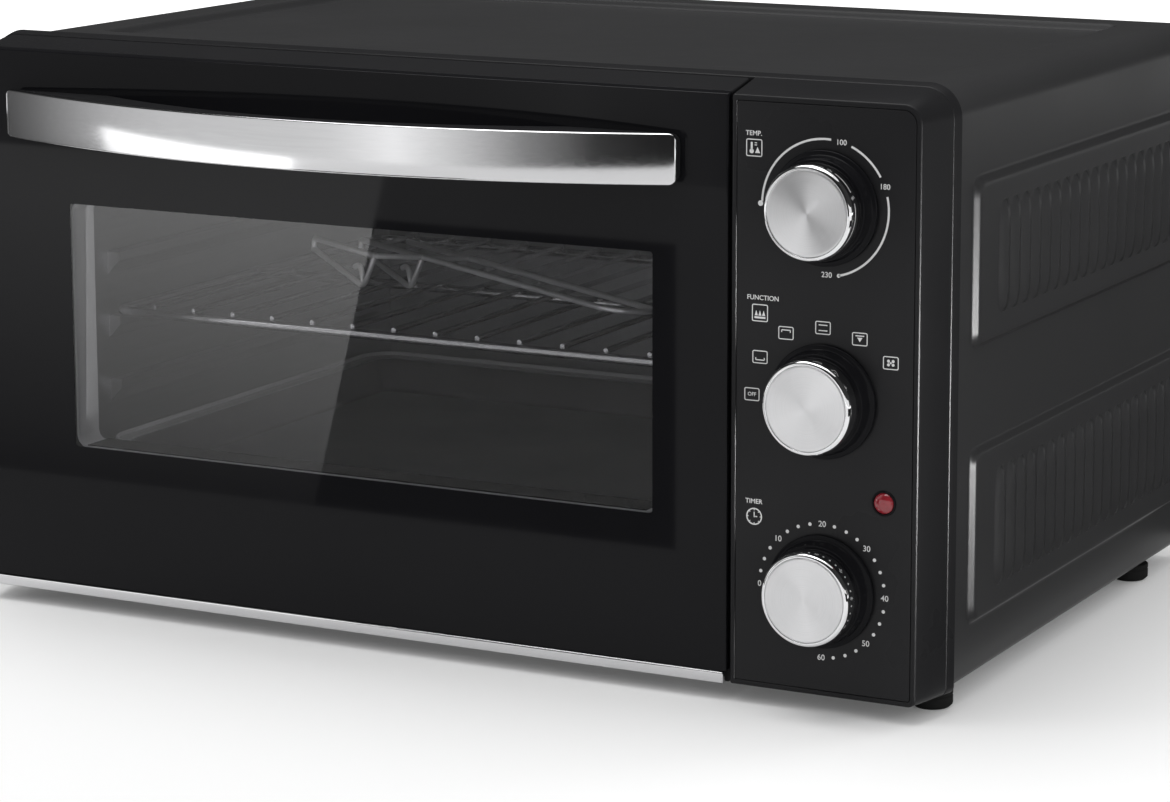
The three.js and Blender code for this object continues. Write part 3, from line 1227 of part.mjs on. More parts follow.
// The baking tray: a tapered pan that hangs between the ridges by its rim.
function bakingTray() {
  const rimLow = TRAY_GUIDE_Z + GUIDE_HEIGHT / 2 + GAP;
  const rimHigh = rimLow + TRAY_SHEET;
  const floor = rimHigh - TRAY_DEPTH;
  const rimLeft = CAVITY_LEFT + TRAY_SIDE_ROOM;
  const rimRight = CAVITY_RIGHT - TRAY_SIDE_ROOM;
  const rimWidth = GUIDE_REACH + TRAY_BODY_ROOM - TRAY_SIDE_ROOM;
  const rimOutline = (inset) => evenOutline(
    rimLeft + inset, rimRight - inset, TRAY_FRONT + inset, TRAY_BACK - inset, TRAY_CORNER + rimWidth - inset,
  );
  const pan = loft('z', [
    { at: floor, outline: rimOutline(rimWidth + TRAY_TAPER) },
    { at: rimHigh, outline: rimOutline(rimWidth) },
  ]);
  const inside = loft('z', [
    { at: floor + TRAY_SHEET, outline: rimOutline(rimWidth + TRAY_TAPER + TRAY_SHEET) },
    { at: rimHigh + OVERRUN, outline: rimOutline(rimWidth + TRAY_SHEET) },
  ]);
  const rim = prism('z', rimOutline(0), rimLow, rimHigh);
  const bead = cut(
    prism('z', rimOutline(0), rimLow, rimHigh + TRAY_BEAD),
    prism('z', rimOutline(TRAY_SHEET), rimLow - OVERRUN, rimHigh + TRAY_BEAD + OVERRUN),
  );
  return cut(join(pan, rim), inside).add(bead);
}

// The lifting fork, drawn lying along X with its tines to the left, then turned and laid on the rack.
function forkWires() {
  const hairpin = (across) => {
    const tip = new THREE.Vector3(0, across, 0);
    const low = new THREE.Vector3(FORK_TINE_LENGTH, across, -FORK_TINE_DROP - FORK_WIRE_RADIUS);
    const top = new THREE.Vector3(FORK_TINE_LENGTH + FORK_RISER_RUN, across, low.z + FORK_RISE);
    return { tip, low, top };
  };
  const wires = [];
  for (const across of [0, FORK_SPACING]) {
    const { tip, low, top } = hairpin(across - FORK_SPACING);
    const start = tip.clone().setZ(top.z);
    const lift = new THREE.Vector3(0, 0, FORK_WIRE_RADIUS);
    const crossbar = top.clone().add(lift);
    wires.push(wire(bentPath([tip, low, crossbar], FORK_BEND, 3), FORK_WIRE_RADIUS));
    const hookEnd = low.clone().add(new THREE.Vector3(-FORK_HOOK_REACH, 0, FORK_HOOK_RISE));
    const hookCrest = FORK_HOOK_RISE + 2 * FORK_WIRE_RADIUS;
    const hookTop = low.clone().add(new THREE.Vector3(-FORK_HOOK_REACH / 2, 0, hookCrest));
    wires.push(wire([low.clone().add(lift), hookTop, hookEnd], FORK_WIRE_RADIUS));
    wires.push(wire([tip.clone().sub(lift), start], FORK_WIRE_RADIUS));
  }
  return wires;
}

function trayHandle() {
  const low = -FORK_TINE_DROP - FORK_WIRE_RADIUS;
  const gripZ = low + FORK_RISE;
  const near = 0;
  const far = FORK_SPACING;
  const gripCorners = [
    new THREE.Vector3(0, near, gripZ),
    new THREE.Vector3(FORK_GRIP_LENGTH, near, gripZ),
    new THREE.Vector3(FORK_GRIP_LENGTH, far, gripZ),
    new THREE.Vector3(0, far, gripZ),
  ];
  const grip = wire(bentPath(gripCorners, FORK_SPACING / 2, HEATER_BEND_STEPS), FORK_WIRE_RADIUS);
  const barX = FORK_TINE_LENGTH + FORK_RISER_RUN;
  const [barStart, barEnd] = [-FORK_SPACING - FORK_WIRE_RADIUS, far + FORK_WIRE_RADIUS];
  const bar = rod('y', barX, gripZ, FORK_WIRE_RADIUS, barStart, barEnd, WIRE_SIDES);
  const topWire = rod('x', -FORK_SPACING, gripZ, FORK_WIRE_RADIUS, 0, barX, WIRE_SIDES);
  return join(grip, bar, topWire, ...forkWires());
}

// Turns the fork about its long axis and lays it on the rack, settled a little between the thin wires.
function laid(body) {
  const { vertProperties, triVerts } = body.getMesh();
  const geometry = new THREE.BufferGeometry();
  geometry.setAttribute('position', new THREE.BufferAttribute(new Float32Array(vertProperties), 3));
  geometry.setIndex(new THREE.BufferAttribute(new Uint32Array(triVerts), 1));
  geometry.rotateX(-THREE.MathUtils.degToRad(FORK_TILT_DEGREES));
  geometry.rotateZ(THREE.MathUtils.degToRad(FORK_TURN_DEGREES));
  geometry.computeBoundingBox();
  geometry.translate(FORK_X, FORK_Y, RACK_TOP + GAP - FORK_SETTLE - geometry.boundingBox.min.z);
  return solid(geometry);
}

// The rubber bush in the rear panel that the lead passes through.
function cordInlet() {
  const face = CASE_BACK - SHEET - GAP;
  const flangeFront = face + GAP;
  const inside = face - SHEET - GAP;
  return turned(GLAND_X, GLAND_Z, [
    [GLAND_BORE_RADIUS, CASE_BACK + GLAND_REACH],
    [GLAND_NOSE_RADIUS, CASE_BACK + GLAND_REACH],
    [GLAND_FLANGE_RADIUS, flangeFront + GLAND_FLANGE],
    [GLAND_FLANGE_RADIUS, flangeFront],
    [GLAND_NECK_RADIUS, flangeFront],
    [GLAND_NECK_RADIUS, inside - GLAND_FLANGE],
    [GLAND_BORE_RADIUS, inside - GLAND_FLANGE],
    [GLAND_BORE_RADIUS, CASE_BACK + GLAND_REACH],
  ], ROUND_SIDES);
}

add(oven, 'outer_wrap', outerWrap(), BLACK_PAINT, 0.45, 0.3);
add(oven, 'rear_panel', rearPanel(), BLACK_PAINT, 0.5, 0.3);
add(oven, 'base_plate', basePlate(), GREY_STEEL, 0.5, 0.8);
['foot_front_left', 'foot_front_right', 'foot_back_left', 'foot_back_right'].forEach((name, index) => {
  const [x, y] = footPlaces()[index];
  add(oven, name, foot(x, y), BLACK_PLASTIC, 0.8, 0);
});
add(oven, 'front_frame', frontFrame(), BLACK_PAINT, 0.4, 0.3);
add(oven, 'control_panel', controlPanel(), BLACK_PAINT, 0.4, 0.1);
add(oven, 'panel_overlay', panelOverlay(), BLACK_PLASTIC, 0.3, 0);

add(oven, 'cavity_left_wall', cavitySide(CAVITY_LEFT, -1), BRIGHT_STEEL, 0.4, 0.9);
const rightWall = cut(cavitySide(CAVITY_RIGHT, 1), ...heaterHoles(), ...fanVents());
add(oven, 'cavity_right_wall', rightWall, BRIGHT_STEEL, 0.4, 0.9);
const innerLeft = CAVITY_LEFT + GAP;
const innerRight = CAVITY_RIGHT - GAP;
const floorPlate = box(innerLeft, innerRight, CAVITY_FRONT, CAVITY_BACK, CAVITY_LOW - SHEET, CAVITY_LOW);
const roofPlate = box(innerLeft, innerRight, CAVITY_FRONT, CAVITY_BACK, CAVITY_HIGH, CAVITY_HIGH + SHEET);
add(oven, 'cavity_floor', floorPlate, BRIGHT_STEEL, 0.4, 0.9);
add(oven, 'cavity_roof', roofPlate, BRIGHT_STEEL, 0.4, 0.9);
const backLow = CAVITY_LOW - SHEET;
const backHigh = CAVITY_HIGH + SHEET;
const backFront = CAVITY_BACK + GAP;
const backEnd = backFront + SHEET;
const backPlate = box(CAVITY_LEFT - SHEET, CAVITY_RIGHT + SHEET, backFront, backEnd, backLow, backHigh);
add(oven, 'cavity_back', backPlate, BRIGHT_STEEL, 0.4, 0.9);

add(oven, 'upper_heater', heater(UPPER_HEATER_Z), GREY_STEEL, 0.6, 0.7);
add(oven, 'lower_heater', heater(LOWER_HEATER_Z), GREY_STEEL, 0.6, 0.7);
add(oven, 'upper_heater_flange', heaterPlate(UPPER_HEATER_Z), BRIGHT_STEEL, 0.4, 0.9);
add(oven, 'lower_heater_flange', heaterPlate(LOWER_HEATER_Z), BRIGHT_STEEL, 0.4, 0.9);
add(oven, 'fan_housing', fanHousing(), BRIGHT_STEEL, 0.4, 0.9);
add(oven, 'fan_wheel', fanWheel(), BRIGHT_STEEL, 0.4, 0.9);
add(oven, 'fan_shaft', fanShaft(), GREY_STEEL, 0.3, 0.9);
add(oven, 'fan_motor', fanMotor(), GREY_STEEL, 0.6, 0.6);

const bodies = { temp: thermostatBody, function: functionSwitchBody, timer: timerBody };
const bodyNames = { temp: 'thermostat_body', function: 'function_switch_body', timer: 'timer_body' };
Object.keys(bodies).forEach((control, index) => {
  const height = knobHeights()[index];
  add(oven, bodyNames[control], bodies[control](height), GREY_STEEL, 0.5, 0.5);
  add(oven, `${control}_shaft`, shaft(height), BRIGHT_STEEL, 0.3, 0.9);
  add(oven, `${control}_knob`, knob(height), BLACK_PLASTIC, 0.25, 0);
  add(oven, `${control}_knob_cap`, knobCap(height), BRIGHT_STEEL, 0.3, 1);
});
add(oven, 'indicator_lens', indicatorLens(), 0x5a1418, 0.1, 0);
add(oven, 'lamp_holder', lampHolder(), BLACK_PLASTIC, 0.6, 0);

add(doorGroup, 'door_frame', doorFrame(), BLACK_PAINT, 0.4, 0.1);
add(doorGroup, 'door_glass', doorGlass(), 0x1e1d20, 0.05, 0);
add(doorGroup, 'door_inner_panel', doorInnerPanel(), BRIGHT_STEEL, 0.35, 0.9);
add(doorGroup, 'door_trim_strip', doorTrimStrip(), SATIN_SILVER, 0.3, 1);
add(doorGroup, 'handle_bar', handleBar(), SATIN_SILVER, 0.3, 1);
add(doorGroup, 'handle_body', handleBody(), BLACK_PLASTIC, 0.4, 0);
add(oven, 'left_hinge_bracket', hingeBracket(HINGE_LEFT_X), GREY_STEEL, 0.4, 0.9);
add(oven, 'right_hinge_bracket', hingeBracket(HINGE_RIGHT_X), GREY_STEEL, 0.4, 0.9);
add(oven, 'left_hinge_pin', hingePin(HINGE_LEFT_X), BRIGHT_STEEL, 0.3, 0.9);
add(oven, 'right_hinge_pin', hingePin(HINGE_RIGHT_X), BRIGHT_STEEL, 0.3, 0.9);

add(oven, 'wire_rack', wireRack(), BRIGHT_STEEL, 0.2, 1);
add(oven, 'baking_tray', bakingTray(), GREY_STEEL, 0.4, 0.8);
add(oven, 'tray_handle', laid(trayHandle()), BRIGHT_STEEL, 0.2, 1);
add(oven, 'cord_inlet', cordInlet(), BLACK_PLASTIC, 0.8, 0);

// The group stands with the middle of its whole depth over the origin.
oven.position.y = (HANDLE_REACH - CASE_BACK - GLAND_REACH) / 2;

export default oven;
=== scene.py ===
# %% [markdown]
# A convection countertop oven in a pale studio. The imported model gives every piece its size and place.
# This lesson dresses it: fine-cornered shells, turned knob faces, printed dials, a louvred steel wrap and
# a finish for every surface. Lengths are in metres, +X is the oven's right, -Y its front, +Z up.

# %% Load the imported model
import math

import bmesh
import bpy
import numpy as np
from mathutils import Matrix, Vector


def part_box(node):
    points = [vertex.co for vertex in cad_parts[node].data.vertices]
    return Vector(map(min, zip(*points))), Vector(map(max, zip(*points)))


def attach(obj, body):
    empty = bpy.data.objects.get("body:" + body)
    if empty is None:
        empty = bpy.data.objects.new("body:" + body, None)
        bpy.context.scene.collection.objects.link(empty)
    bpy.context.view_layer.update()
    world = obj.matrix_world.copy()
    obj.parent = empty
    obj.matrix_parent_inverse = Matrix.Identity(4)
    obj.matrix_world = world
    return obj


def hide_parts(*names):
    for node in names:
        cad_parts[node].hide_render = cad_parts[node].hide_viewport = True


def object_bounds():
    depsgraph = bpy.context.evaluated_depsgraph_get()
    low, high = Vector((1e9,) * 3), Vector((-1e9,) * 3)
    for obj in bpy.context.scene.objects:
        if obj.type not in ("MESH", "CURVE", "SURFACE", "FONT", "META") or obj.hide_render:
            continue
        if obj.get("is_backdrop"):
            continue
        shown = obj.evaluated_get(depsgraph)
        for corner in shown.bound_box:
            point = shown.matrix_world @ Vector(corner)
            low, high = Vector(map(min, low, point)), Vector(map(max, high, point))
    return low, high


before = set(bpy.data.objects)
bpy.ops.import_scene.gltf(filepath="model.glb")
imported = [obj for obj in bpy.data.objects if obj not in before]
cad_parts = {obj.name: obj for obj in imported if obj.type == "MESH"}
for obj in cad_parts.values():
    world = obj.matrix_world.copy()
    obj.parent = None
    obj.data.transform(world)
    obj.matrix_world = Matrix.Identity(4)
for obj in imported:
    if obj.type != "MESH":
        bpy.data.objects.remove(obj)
CAD_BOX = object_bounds()
MM = 0.001
scene = bpy.context.scene

# %% [markdown]
# The camera stands where the photograph was taken: to the right of the oven and a little above it. The
# picture's optical centre lies right of and above its middle, which the two small shifts give.

# %% Camera
CAMERA_PLACE = Vector((0.9106, -1.7096, 0.4958))
CAMERA_AZIMUTH = math.radians(26.56)
CAMERA_DROP = math.radians(10.03)
CAMERA_ROLL = math.radians(0.107)
SENSOR_WIDTH = 36.0
FOCAL_LENGTH = 114.96
NEAREST_SEEN = 0.05
PHOTO_WIDTH, PHOTO_HEIGHT = 1170, 802
OPTICAL_CENTRE = (675.2, 301.5)


def camera_turn():
    """The camera's axes from its azimuth, its drop and its roll."""
    level = math.cos(CAMERA_DROP)
    ahead, aside = math.cos(CAMERA_AZIMUTH), math.sin(CAMERA_AZIMUTH)
    forward = Vector((-aside * level, ahead * level, -math.sin(CAMERA_DROP)))
    right = Vector((ahead, aside, 0))
    up = right.cross(forward)
    cosine, sine = math.cos(CAMERA_ROLL), math.sin(CAMERA_ROLL)
    rolled_right = cosine * right + sine * up
    rolled_up = cosine * up - sine * right
    return Matrix((rolled_right, rolled_up, -forward)).transposed().to_4x4()


camera_data = bpy.data.cameras.new("photo_camera")
camera_data.sensor_width = SENSOR_WIDTH
camera_data.lens = FOCAL_LENGTH
camera_data.shift_x = (PHOTO_WIDTH / 2 - OPTICAL_CENTRE[0]) / PHOTO_WIDTH
camera_data.shift_y = (OPTICAL_CENTRE[1] - PHOTO_HEIGHT / 2) / PHOTO_WIDTH
camera_data.clip_start = NEAREST_SEEN
camera = bpy.data.objects.new("photo_camera", camera_data)
camera.matrix_world = Matrix.Translation(CAMERA_PLACE) @ camera_turn()
scene.collection.objects.link(camera)
scene.camera = camera
print("camera shift", round(camera_data.shift_x, 4), round(camera_data.shift_y, 4))

# %% [markdown]
# Every finish is a Principled shader with its own values. Two effects are shared by many of them. One is
# the fine grain of paint and moulded plastic, with the faint patches that handling leaves. The other is the
# lines of brushed metal. Each is a node group, built once and placed in each material with its own numbers.

# %% Shared effects as node groups
NOISE_LOW, NOISE_HIGH = 0.3, 0.7


def new_group(name, inputs, outputs):
    """An empty shader node group with named float or vector sockets."""
    group = bpy.data.node_groups.new(name, "ShaderNodeTree")
    for label, kind, value in inputs:
        socket = group.interface.new_socket(label, in_out="INPUT", socket_type=kind)
        socket.default_value = value
    for label, kind in outputs:
        group.interface.new_socket(label, in_out="OUTPUT", socket_type=kind)
    return group, group.nodes.new("NodeGroupInput"), group.nodes.new("NodeGroupOutput")


def noise_node(tree, detail, coordinates, scale):
    """A noise texture with its coordinates and its scale linked."""
    noise = tree.nodes.new("ShaderNodeTexNoise")
    noise.inputs["Detail"].default_value = detail
    tree.links.new(coordinates, noise.inputs["Vector"])
    tree.links.new(scale, noise.inputs["Scale"])
    return noise.outputs["Fac"]


def ranged(tree, value, low, high):
    """A noise value, moved from the span where most of it lies to the range between two sockets."""
    node = tree.nodes.new("ShaderNodeMapRange")
    tree.links.new(value, node.inputs["Value"])
    tree.links.new(low, node.inputs["To Min"])
    tree.links.new(high, node.inputs["To Max"])
    node.inputs["From Min"].default_value = NOISE_LOW
    node.inputs["From Max"].default_value = NOISE_HIGH
    return node.outputs["Result"]


def grain_group():
    """Fine even grain for paint and plastic: a roughness that varies a little and a height."""
    group, given, out = new_group(
        "fine_grain",
        [("Grain Scale", "NodeSocketFloat", 900.0), ("Patch Scale", "NodeSocketFloat", 14.0),
         ("Roughness Low", "NodeSocketFloat", 0.35), ("Roughness High", "NodeSocketFloat", 0.45)],
        [("Roughness", "NodeSocketFloat"), ("Height", "NodeSocketFloat"), ("Patches", "NodeSocketFloat")],
    )
    coordinates = group.nodes.new("ShaderNodeTexCoord").outputs["Object"]
    grain = noise_node(group, 3.0, coordinates, given.outputs["Grain Scale"])
    patches = noise_node(group, 4.0, coordinates, given.outputs["Patch Scale"])
    rough = ranged(group, patches, given.outputs["Roughness Low"], given.outputs["Roughness High"])
    group.links.new(rough, out.inputs["Roughness"])
    group.links.new(grain, out.inputs["Height"])
    group.links.new(patches, out.inputs["Patches"])
    return group


def brushed_group():
    """Lines of brushed metal: noise drawn out along one axis by a stretch."""
    group, given, out = new_group(
        "brushed_lines",
        [("Stretch", "NodeSocketVector", (1.0, 60.0, 60.0)), ("Line Scale", "NodeSocketFloat", 40.0),
         ("Roughness Low", "NodeSocketFloat", 0.25), ("Roughness High", "NodeSocketFloat", 0.4)],
        [("Roughness", "NodeSocketFloat"), ("Height", "NodeSocketFloat"), ("Lines", "NodeSocketFloat")],
    )
    coordinates = group.nodes.new("ShaderNodeTexCoord").outputs["Object"]
    drawn = group.nodes.new("ShaderNodeVectorMath")
    drawn.operation = "MULTIPLY"
    group.links.new(coordinates, drawn.inputs[0])
    group.links.new(given.outputs["Stretch"], drawn.inputs[1])
    lines = noise_node(group, 5.0, drawn.outputs["Vector"], given.outputs["Line Scale"])
    rough = ranged(group, lines, given.outputs["Roughness Low"], given.outputs["Roughness High"])
    group.links.new(rough, out.inputs["Roughness"])
    group.links.new(lines, out.inputs["Height"])
    group.links.new(lines, out.inputs["Lines"])
    return group


GRAIN = grain_group()
BRUSHED = brushed_group()
print("groups", GRAIN.name, BRUSHED.name)

# %% [markdown]
# A finish function makes one material from a few values: its colour, its gloss and its grain. Dull paint
# and plastic take the fine grain, metal takes the brushed lines. The colour is mixed a little towards a
# lighter and a darker tone by the same pattern, because no real surface is one flat colour.

# %% Finish makers
GRAIN_HEIGHT = 0.04 * MM
LINE_HEIGHT = 0.03 * MM


def bare_material(name):
    """A material with only a Principled shader, and that shader."""
    material = bpy.data.materials.new(name)
    material.use_nodes = True
    shader = material.node_tree.nodes["Principled BSDF"]
    return material, shader


def place_group(tree, group, values):
    """A group node with its inputs set by name."""
    node = tree.nodes.new("ShaderNodeGroup")
    node.node_tree = group
    for label, value in values.items():
        node.inputs[label].default_value = value
    return node


def tinted(tree, pattern, dark, light):
    """A colour between two tones that follows a pattern."""
    mix = tree.nodes.new("ShaderNodeMix")
    mix.data_type = "RGBA"
    mix.inputs["A"].default_value = (*dark, 1)
    mix.inputs["B"].default_value = (*light, 1)
    tree.links.new(pattern, mix.inputs["Factor"])
    return mix.outputs["Result"]


def bumped(tree, height, distance, strength):
    """A normal from a height in metres."""
    bump = tree.nodes.new("ShaderNodeBump")
    bump.inputs["Distance"].default_value = distance
    bump.inputs["Strength"].default_value = strength
    tree.links.new(height, bump.inputs["Height"])
    return bump.outputs["Normal"]


def grained(name, dark, light, roughness, grain, bump, specular, metallic=0.0):
    """Paint, enamel, rubber or plastic with a fine grain."""
    material, shader = bare_material(name)
    tree = material.node_tree
    low, high = roughness
    effect = place_group(tree, GRAIN, {"Grain Scale": grain, "Roughness Low": low, "Roughness High": high})
    tree.links.new(tinted(tree, effect.outputs["Patches"], dark, light), shader.inputs["Base Color"])
    tree.links.new(effect.outputs["Roughness"], shader.inputs["Roughness"])
    tree.links.new(bumped(tree, effect.outputs["Height"], GRAIN_HEIGHT, bump), shader.inputs["Normal"])
    shader.inputs["Specular IOR Level"].default_value = specular
    shader.inputs["Metallic"].default_value = metallic
    return material


def brushed(name, dark, light, roughness, stretch, scale, bump, anisotropic=0.0):
    """Metal with drawn lines along the axis whose stretch is least."""
    material, shader = bare_material(name)
    tree = material.node_tree
    low, high = roughness
    values = {"Stretch": stretch, "Line Scale": scale, "Roughness Low": low, "Roughness High": high}
    effect = place_group(tree, BRUSHED, values)
    tree.links.new(tinted(tree, effect.outputs["Lines"], dark, light), shader.inputs["Base Color"])
    tree.links.new(effect.outputs["Roughness"], shader.inputs["Roughness"])
    tree.links.new(bumped(tree, effect.outputs["Height"], LINE_HEIGHT, bump), shader.inputs["Normal"])
    shader.inputs["Metallic"].default_value = 1.0
    shader.inputs["Anisotropic"].default_value = anisotropic
    return material


print("grain", round(GRAIN_HEIGHT / MM, 3), "mm high, brushed lines", round(LINE_HEIGHT / MM, 3), "mm")

# %% [markdown]
# Nothing on the oven is pure black. The case is painted steel, and the front is painted a little deeper.
# The panel carries a printed film, black enamel is fired onto the door's glass, and the knobs are glossy
# plastic. They differ mostly in gloss: a low specular level keeps the studio's light from turning the
# paint grey, and the enamel is far smoother than the rest.

# %% The black finishes
case_paint = grained("case_paint", (0.029, 0.029, 0.030), (0.034, 0.034, 0.035), (0.28, 0.34),
                     grain=700.0, bump=0.12, specular=0.075)
front_paint = grained("front_paint", (0.013, 0.013, 0.014), (0.016, 0.016, 0.017), (0.26, 0.32),
                      grain=900.0, bump=0.06, specular=0.09)
panel_film = grained("panel_film", (0.013, 0.013, 0.014), (0.016, 0.016, 0.017), (0.26, 0.32),
                     grain=1200.0, bump=0.0, specular=0.12)
glass_enamel = grained("glass_enamel", (0.006, 0.006, 0.007), (0.008, 0.008, 0.009), (0.04, 0.06),
                       grain=600.0, bump=0.0, specular=0.10)
knob_black = grained("knob_black", (0.006, 0.006, 0.007), (0.008, 0.008, 0.009), (0.12, 0.18),
                     grain=800.0, bump=0.0, specular=0.06)
print("black finishes", len(bpy.data.materials))

# %% [markdown]
# The other moulded and fired finishes are duller. Printed ink is matt, the switches and the motor are plain
# grey plastic, and rubber is the roughest of all. The tray's enamel keeps a soft shine.

# %% Ink, plastic, rubber and tray enamel
print_ink = grained("print_ink", (0.62, 0.62, 0.62), (0.72, 0.72, 0.72), (0.45, 0.55),
                    grain=900.0, bump=0.02, specular=0.3)
control_plastic = grained("control_plastic", (0.10, 0.10, 0.11), (0.14, 0.14, 0.15), (0.45, 0.6),
                          grain=500.0, bump=0.1, specular=0.3)
foot_rubber = grained("foot_rubber", (0.010, 0.010, 0.010), (0.020, 0.020, 0.020), (0.7, 0.85),
                      grain=500.0, bump=0.3, specular=0.03)
tray_enamel = grained("tray_enamel", (0.016, 0.016, 0.018), (0.022, 0.022, 0.024), (0.30, 0.38),
                      grain=300.0, bump=0.02, specular=0.3)
print("with ink, plastic, rubber and enamel", len(bpy.data.materials))

# %% [markdown]
# Rolled sheet and drawn bar carry fine lines along the way they were drawn. The noise is stretched 60 times
# across that way and left alone along it. The inner panel and the lifting fork are plated instead, so they
# take the even grain with a part of metal in it.

# %% The metals
ALONG_X = (1.0, 60.0, 60.0)
ALONG_Y = (60.0, 1.0, 60.0)
ALONG_Z = (60.0, 60.0, 1.0)
silver_bar = brushed("silver_bar", (0.60, 0.60, 0.61), (0.66, 0.66, 0.67), (0.10, 0.14),
                     ALONG_X, scale=14.0, bump=0.01, anisotropic=0.2)
bright_sheet = brushed("bright_sheet", (0.36, 0.36, 0.37), (0.46, 0.46, 0.47), (0.32, 0.44),
                       ALONG_Y, scale=12.0, bump=0.05)
inner_sheet = grained("inner_sheet", (0.74, 0.74, 0.75), (0.82, 0.82, 0.83), (0.42, 0.52),
                      grain=500.0, bump=0.02, specular=0.5, metallic=0.5)
fork_chrome = grained("fork_chrome", (0.86, 0.86, 0.87), (0.92, 0.92, 0.93), (0.3, 0.4),
                      grain=500.0, bump=0.0, specular=0.5, metallic=0.6)
base_sheet = brushed("base_sheet", (0.36, 0.37, 0.38), (0.50, 0.51, 0.52), (0.35, 0.5),
                     ALONG_Y, scale=8.0, bump=0.1)
heater_sheath = brushed("heater_sheath", (0.10, 0.095, 0.09), (0.20, 0.19, 0.18), (0.4, 0.6),
                        ALONG_X, scale=20.0, bump=0.2)
hinge_steel = brushed("hinge_steel", (0.40, 0.40, 0.41), (0.55, 0.55, 0.56), (0.3, 0.45),
                      ALONG_Z, scale=30.0, bump=0.1)
wire_chrome = brushed("wire_chrome", (0.52, 0.52, 0.53), (0.60, 0.60, 0.61), (0.16, 0.24),
                      ALONG_Y, scale=40.0, bump=0.02)
knob_chrome = brushed("knob_chrome", (0.70, 0.70, 0.71), (0.80, 0.80, 0.81), (0.03, 0.08),
                      ALONG_X, scale=40.0, bump=0.01)
print("materials", len(bpy.data.materials))

# %% [markdown]
# Three finishes need more than the shared makers. The knob's face is turned on a lathe: its grooves run in
# circles, so the light draws bright cones on it. That takes an anisotropic shader whose tangent runs
# round the axis. The door's pane is plain clear glass with a little grey in it. The lamp's lens is clear
# red plastic on the real oven. No light burns behind it, so a dark red under a clear coat is enough.

# %% Turned metal, pane and lens
GROOVE_SCALE = 90.0
GROOVE_HEIGHT = 0.02 * MM
TURNED_DARK = (0.66, 0.66, 0.67)
TURNED_LIGHT = (0.76, 0.76, 0.77)
PANE_GREY = (0.62, 0.62, 0.63, 1)
LENS_DARK = (0.16, 0.008, 0.014)
LENS_LIGHT = (0.28, 0.020, 0.030)


def turned_metal():
    """Aluminium with circular grooves round the Y axis."""
    material, shader = bare_material("turned_aluminium")
    tree = material.node_tree
    coordinates = tree.nodes.new("ShaderNodeTexCoord").outputs["Generated"]
    centred = tree.nodes.new("ShaderNodeVectorMath")
    centred.operation = "SUBTRACT"
    centred.inputs[1].default_value = (0.5, 0.5, 0.5)
    tree.links.new(coordinates, centred.inputs[0])
    level = tree.nodes.new("ShaderNodeVectorMath")
    level.operation = "MULTIPLY"
    level.inputs[1].default_value = (1, 0, 1)
    tree.links.new(centred.outputs["Vector"], level.inputs[0])
    radius = tree.nodes.new("ShaderNodeVectorMath")
    radius.operation = "LENGTH"
    tree.links.new(level.outputs["Vector"], radius.inputs[0])
    rings = tree.nodes.new("ShaderNodeTexNoise")
    rings.noise_dimensions = "1D"
    rings.inputs["Scale"].default_value = GROOVE_SCALE
    rings.inputs["Detail"].default_value = 3.0
    tree.links.new(radius.outputs["Value"], rings.inputs["W"])
    colour = tinted(tree, rings.outputs["Fac"], TURNED_DARK, TURNED_LIGHT)
    tree.links.new(colour, shader.inputs["Base Color"])
    tree.links.new(bumped(tree, rings.outputs["Fac"], GROOVE_HEIGHT, 0.2), shader.inputs["Normal"])
    tangent = tree.nodes.new("ShaderNodeTangent")
    tangent.direction_type = "RADIAL"
    tangent.axis = "Y"
    tree.links.new(tangent.outputs["Tangent"], shader.inputs["Tangent"])
    shader.inputs["Metallic"].default_value = 1.0
    shader.inputs["Roughness"].default_value = 0.40
    shader.inputs["Anisotropic"].default_value = 0.75
    return material


def clear_pane():
    """Slightly grey glass."""
    material, shader = bare_material("door_pane_glass")
    shader.inputs["Base Color"].default_value = PANE_GREY
    shader.inputs["Roughness"].default_value = 0.0
    shader.inputs["IOR"].default_value = 1.45
    shader.inputs["Transmission Weight"].default_value = 1.0
    return material


def red_lens():
    """Dark red clear plastic over an unlit lamp."""
    material, shader = bare_material("lamp_red")
    tree = material.node_tree
    effect = place_group(tree, GRAIN, {"Patch Scale": 220.0, "Roughness Low": 0.08, "Roughness High": 0.16})
    colour = tinted(tree, effect.outputs["Patches"], LENS_DARK, LENS_LIGHT)
    tree.links.new(colour, shader.inputs["Base Color"])
    tree.links.new(effect.outputs["Roughness"], shader.inputs["Roughness"])
    shader.inputs["Coat Weight"].default_value = 0.4
    return material


turned_aluminium = turned_metal()
pane_glass = clear_pane()
lamp_red = red_lens()
print("special finishes", turned_aluminium.name, pane_glass.name, lamp_red.name)

# %% [markdown]
# Most pieces are skins through rings of points: a rounded outline repeated at several depths, a
# cross-section carried along a bow, or a profile turned about an axis. One helper joins rings into faces,
# closes the ends and hands back points and faces. Another turns them into a named piece on its body.

# %% Rings, skins and pieces
SAME_POINT = 1e-7


def skin(rings, loop=False):
    """Faces through rings of equally many points. The ends are closed, or the last ring meets the first."""
    count = len(rings[0])
    points = [tuple(point) for ring in rings for point in ring]
    faces = []
    spans = len(rings) if loop else len(rings) - 1
    for span in range(spans):
        this = span * count
        following = (span + 1) % len(rings) * count
        for side in range(count):
            ahead = (side + 1) % count
            faces.append((this + side, this + ahead, following + ahead, following + side))
    if not loop:
        faces.append(tuple(reversed(range(count))))
        faces.append(tuple(range((len(rings) - 1) * count, len(rings) * count)))
    return points, faces


def gathered(*parts):
    """Several point and face lists as one."""
    points, faces = [], []
    for part_points, part_faces in parts:
        start = len(points)
        points.extend(part_points)
        faces.extend(tuple(index + start for index in face) for face in part_faces)
    return points, faces


